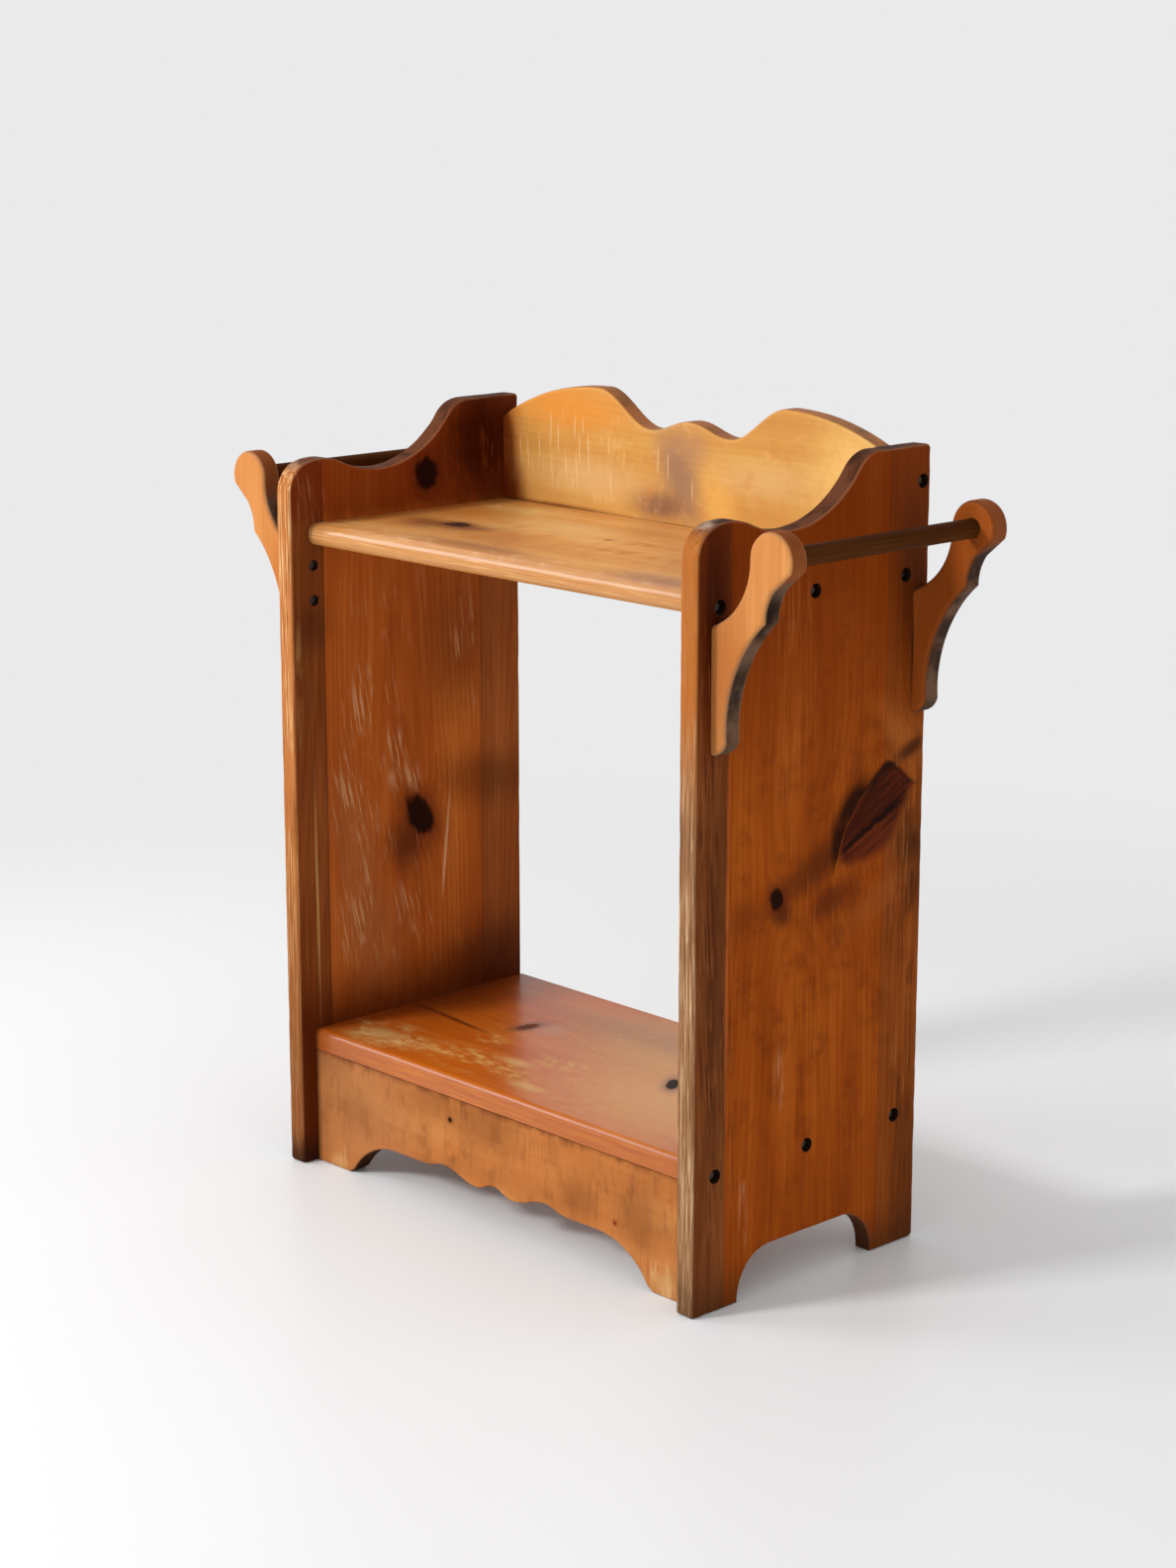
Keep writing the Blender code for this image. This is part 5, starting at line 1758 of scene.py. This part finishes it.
# %% Apron
BROWN = (128, 74, 38)
SMUDGES = (60, 40, 42)
SCUFFS = (560, 40, 30)
FOOT_RUBS = (170, 40, 22)
EDGE_RUBS = (300, 40, 40)
APRON_PITH = 0.08
APRON_MARKS = [
    knot(-0.055, 0.0845, 0.0034, 0.0028, 0, 0.5, 0.85),
    stain(0.150, 0.048, 0.0018, 0.0018, 0, (120, 30, 16), 0.9),
    stain(-0.215, 0.100, 0.020, 0.012, 0, BROWN, 0.6),
    stain(-0.180, 0.070, 0.060, 0.060, 0, (166, 112, 72), 0.5),
    stain(-0.010, 0.090, 0.030, 0.016, 10, BROWN, 0.5),
    stain(0.177, 0.062, 0.020, 0.020, 0, BROWN, 0.5),
    stain(0.104, 0.058, 0.016, 0.014, 0, BROWN, 0.4),
    stain(-0.184, 0.062, 0.020, 0.014, 0, BROWN, 0.35),
    stain(-0.078, 0.092, 0.030, 0.010, 0, BROWN, 0.35),
    stain(0.208, 0.010, 0.0090, 0.0090, 0, (206, 164, 106), 0.6),
    stain(-0.208, 0.006, 0.0080, 0.0060, 0, (210, 160, 100), 0.45),
    scratches(0.0, 0.065, 0.400, 0.110, 0, BROWN, 0.4, 0.44, SMUDGES, 0.2),
    scratches(0.0, 0.065, 0.400, 0.110, 0, (122, 70, 40), 0.4, 0.46, SCUFFS, 0.25),
    scratches(0.206, 0.014, 0.030, 0.024, 0, (236, 196, 140), 0.6, 0.40, FOOT_RUBS, 0.25),
    scratches(0.025, 0.038, 0.024, 0.008, 0, (240, 194, 126), 0.5, 0.45, EDGE_RUBS, 0.2),
    scratches(-0.205, 0.012, 0.030, 0.018, 0, (240, 192, 130), 0.5, 0.44, FOOT_RUBS, 0.25),
]
apron_pine = pine("apron_pine", "XYZ", tones=((207, 139, 78), (191, 117, 60), (154, 89, 46)),
                  pith=(0.03, apron_low.y - APRON_PITH, 0), seed=19.0, marks=APRON_MARKS,
                  edge=((56, 34, 21), 1.0), rings=0.02, fibre=0.12, side=-1, grain_order="ZYX",
                  grime=[wash(0.098, 0.111, (92, 42, 22), 0.8)])
make_scrolled("front_apron", "apron_board", apron_outline(apron_low, apron_high), APRON_ROUND, rounded_apron,
              apron_pine)
print("apron made")

# %% [markdown]
# ## Towel rails
#
# A pair of scrolled brackets on each side holds a dowel. The brackets were cut from light wood and rounded
# over all round, and their sawn edges have gone dark and grey. The dowel turns in blind holes, so it rides
# on a body of its own.

# %% Bracket shapes
HEAD_RADIUS = 0.022
NECK_RADIUS = 0.058
BASE_TOP_DROP = 0.056
BASE_HEIGHT = 0.102
BALL_END_ANGLE = -22.0
COVE_OUT = 0.003
COVE_DROP = 0.0235
NICK_IN = 0.005
NICK_DROP = 0.0485
COVE_BOW = 0.0022
SWEEP_BOW = 0.0125
TOE_OUT = 0.0145
TOE_RISE = 0.012
TOE_BOW = 0.003
BRACKET_ROUND = 0.004
SOCKET_DEPTH = 0.010
BAR_ROOM = 0.0003


def bar_middle(side_name):
    """The middle of a towel bar, and its radius."""
    low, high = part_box(f"towel_bar_{side_name}")
    return (low + high) / 2, (high.z - low.z) / 2


def bracket_outline(side_name, node):
    """A towel bracket from the front: a round head, a waisted neck, a nick and a long sweep to its toe."""
    side = SIDES[side_name]
    low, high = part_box(node)
    base = min(abs(low.x), abs(high.x))
    middle = bar_middle(side_name)[0]
    head = Vector((abs(middle.x) - base, 0))
    base_top = Vector((0, -BASE_TOP_DROP))
    base_bottom = Vector((0, -BASE_TOP_DROP - BASE_HEIGHT))
    cove = Vector((head.x + COVE_OUT, -COVE_DROP))
    nick = Vector((head.x - NICK_IN, -NICK_DROP))
    toe = base_bottom + Vector((TOE_OUT, TOE_RISE))
    neck_center = meeting_point(head, HEAD_RADIUS + NECK_RADIUS, base_top, NECK_RADIUS)
    neck_start = angle_to(neck_center, base_top) - 360
    neck_end = angle_to(neck_center, head)
    if neck_end > 180:
        neck_end -= 360
    outline = arc(neck_center, NECK_RADIUS, neck_start, neck_end)
    outline += arc(head, HEAD_RADIUS, angle_to(head, neck_center), BALL_END_ANGLE)[1:]
    outline += bow(cove, nick, -COVE_BOW)
    outline += bow(nick, toe, -SWEEP_BOW)[1:]
    outline += bow(toe, base_bottom, TOE_BOW)[1:]
    return [Vector((side * (base + point.x), middle.z + point.y)) for point in outline], base


def socket(side_name, inner, deep):
    """A cutter for a bar's blind hole, along Y from the bracket's inner face to the hole's bottom."""
    middle, radius = bar_middle(side_name)
    hole = bmesh.new()
    bmesh.ops.create_cone(hole, cap_ends=True, segments=HOLE_SIDES, radius1=radius + BAR_ROOM,
                          radius2=radius + BAR_ROOM, depth=abs(inner - deep))
    hole.transform(Matrix.Translation((middle.x, (inner + deep) / 2, middle.z))
                   @ Matrix.Rotation(math.pi / 2, 4, "X"))
    return hole


def make_bracket(side_name, end_name, finish):
    """One towel bracket with its socket and screw holes."""
    node = f"towel_bracket_{side_name}_{end_name}"
    low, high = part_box(node)
    outline, base = bracket_outline(side_name, node)
    if end_name == "front":
        hollow = socket(side_name, high.y + OVERSHOOT, high.y - SOCKET_DEPTH)
    else:
        hollow = socket(side_name, low.y - OVERSHOOT, low.y + SOCKET_DEPTH)
    return make_scrolled(node, f"{side_name}_{end_name}_bracket", outline, BRACKET_ROUND,
                         lambda point: abs(point.x) > base + SAME_PLACE, finish,
                         joined([hollow, holes_for("bracket", side_name, end_name)]))


print("bracket heads are", round(HEAD_RADIUS * 2 * 1000), "mm across")

# %% Brackets
BRACKET_EDGE = ((114, 86, 68), 1.0)
# painted light on the brackets' rounded rims: a highlight on the front ones, shade on the rear ones
BRACKET_RIM_HIGHLIGHT_AND_SHADE = {"front": ((172, 134, 100), 0.4), "rear": ((96, 58, 36), 0.5)}
BRACKET_TONES = {
    "front": ((221, 154, 91), (205, 134, 74), (170, 101, 49)),
    # the rear brackets' darker tones are painted shade
    "rear": ((190, 106, 46), (170, 86, 32), (130, 60, 18)),
}
BRACKET_PITH_SHARE = 0.9
BRACKET_PITH = 0.2
BASE_STAIN_IN = 0.040
BASE_STAIN_DROP = 0.090
JOINT_SHADOW_DROP = 0.107
HEAD_BROWN = (0.022, 0.006)


def bracket_marks(side_name, end_name):
    """A front bracket's face deepens in tone toward its base; a rear one has painted shadow at its joint."""
    middle = bar_middle(side_name)[0]
    side = SIDES[side_name]
    if end_name == "front":
        across = middle.x - side * BASE_STAIN_IN
        return [stain(across, middle.z - BASE_STAIN_DROP, 0.016, 0.032, 0, (190, 110, 52), 0.65)]
    # painted contact shadow along the rear bracket's joint with the panel
    return [stain(side * SIDE_OUTER, middle.z - JOINT_SHADOW_DROP, 0.0014, 0.026, 0, (50, 22, 8), 0.9)]


def bracket_rim_marks(side_name):
    """A bracket's edge is brown round its head, and painted shade makes it blackest in the nick."""
    middle = bar_middle(side_name)[0]
    nick = middle.x - SIDES[side_name] * NICK_IN
    none, full = (middle.z - drop for drop in HEAD_BROWN)
    return [wash(none, full, (150, 80, 38), 0.9),
            # painted shade in the nick
            scratches(nick, middle.z - NICK_DROP, 0.030, 0.030, 0, (34, 22, 18), 0.9, 0.1)]


for number, (side_name, end_name) in enumerate((side, end) for side in SIDES for end in ("front", "rear")):
    middle = bar_middle(side_name)[0]
    bracket_pine = pine(f"{side_name}_{end_name}_bracket_pine", "XYZ", BRACKET_TONES[end_name],
                        (middle.x * BRACKET_PITH_SHARE, middle.y - BRACKET_PITH, 0), seed=23.0 + number,
                        marks=bracket_marks(side_name, end_name), edge=BRACKET_EDGE,
                        rim=BRACKET_RIM_HIGHLIGHT_AND_SHADE[end_name], rim_marks=bracket_rim_marks(side_name), fibre=0.35)
    make_bracket(side_name, end_name, bracket_pine)
print("four brackets made")

# %% [markdown]
# The dowels are stained nearly black-brown and hardly shine. Each is turned from a profile with eased ends,
# and its grain runs along it.

# %% Towel bars
BAR_SIDES = 48
BAR_EASE = 0.001
BAR_TONES = ((98, 56, 22), (78, 40, 13), (52, 26, 8))
BAR_PITH_OUT = 0.03
BAR_PITH_DROP = 0.05


def make_bar(side_name, finish):
    """A dowel between two brackets, eased at its ends."""
    node = f"towel_bar_{side_name}"
    low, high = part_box(node)
    middle, radius = bar_middle(side_name)
    half = (high.y - low.y) / 2
    profile = [(0, -half), (radius - BAR_EASE, -half), (radius, BAR_EASE - half), (radius, half - BAR_EASE),
               (radius - BAR_EASE, half), (0, half)]
    bar = revolve(profile, BAR_SIDES)
    bar.transform(Matrix.Translation(middle) @ Matrix.Rotation(math.pi / 2, 4, "X"))
    return settle(add_object(f"{side_name}_dowel", bar, finish), f"{side_name}_towel_bar", node)


for number, side_name in enumerate(SIDES):
    middle = bar_middle(side_name)[0]
    dowel_stain = pine(f"{side_name}_dowel_stain", "XZY", BAR_TONES,
                       (middle.x + BAR_PITH_OUT, middle.z - BAR_PITH_DROP, 0), seed=31.0 + number, rings=0.04,
                       spacing=0.003, shine=0.01)
    make_bar(side_name, dowel_stain)
print("two dowels made")

# %% [markdown]
# ## Screws
#
# The screws sit deep in their holes, where only a dark glint of each head shows. The frame already has
# their shape, so they keep it, and get a steel that is dull and a little rusty.

# %% Screws
STEEL_TONE = (70, 66, 62)
RUST_TONE = (74, 42, 26)
RUST_WEAVE = (700, 700, 700)
RUST_PEAKS = (0.45, 0.65)
STEEL_METAL = 0.9
RUST_METAL = 0.3
STEEL_ROUGHNESS = 0.4
RUST_ROUGHNESS = 0.7


def screw_steel():
    """Dark steel, dull and a little rusty."""
    finish, tree, surface = new_finish("dark_screw_steel")
    coords = add_node(tree, "ShaderNodeTexCoord").outputs["Object"]
    rust = rise(tree, cloud(tree, coords, RUST_WEAVE, detail=4.0), *RUST_PEAKS)
    wire(tree, surface.inputs, {
        "Base Color": paint(tree, rust, tone(*STEEL_TONE), tone(*RUST_TONE)),
        "Metallic": blend(tree, rust, STEEL_METAL, RUST_METAL),
        "Roughness": blend(tree, rust, STEEL_ROUGHNESS, RUST_ROUGHNESS),
    })
    return finish


STEEL = screw_steel()
for name in SCREWS:
    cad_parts[name].data.materials.clear()
    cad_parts[name].data.materials.append(STEEL)
print("screws dressed:", len(SCREWS))
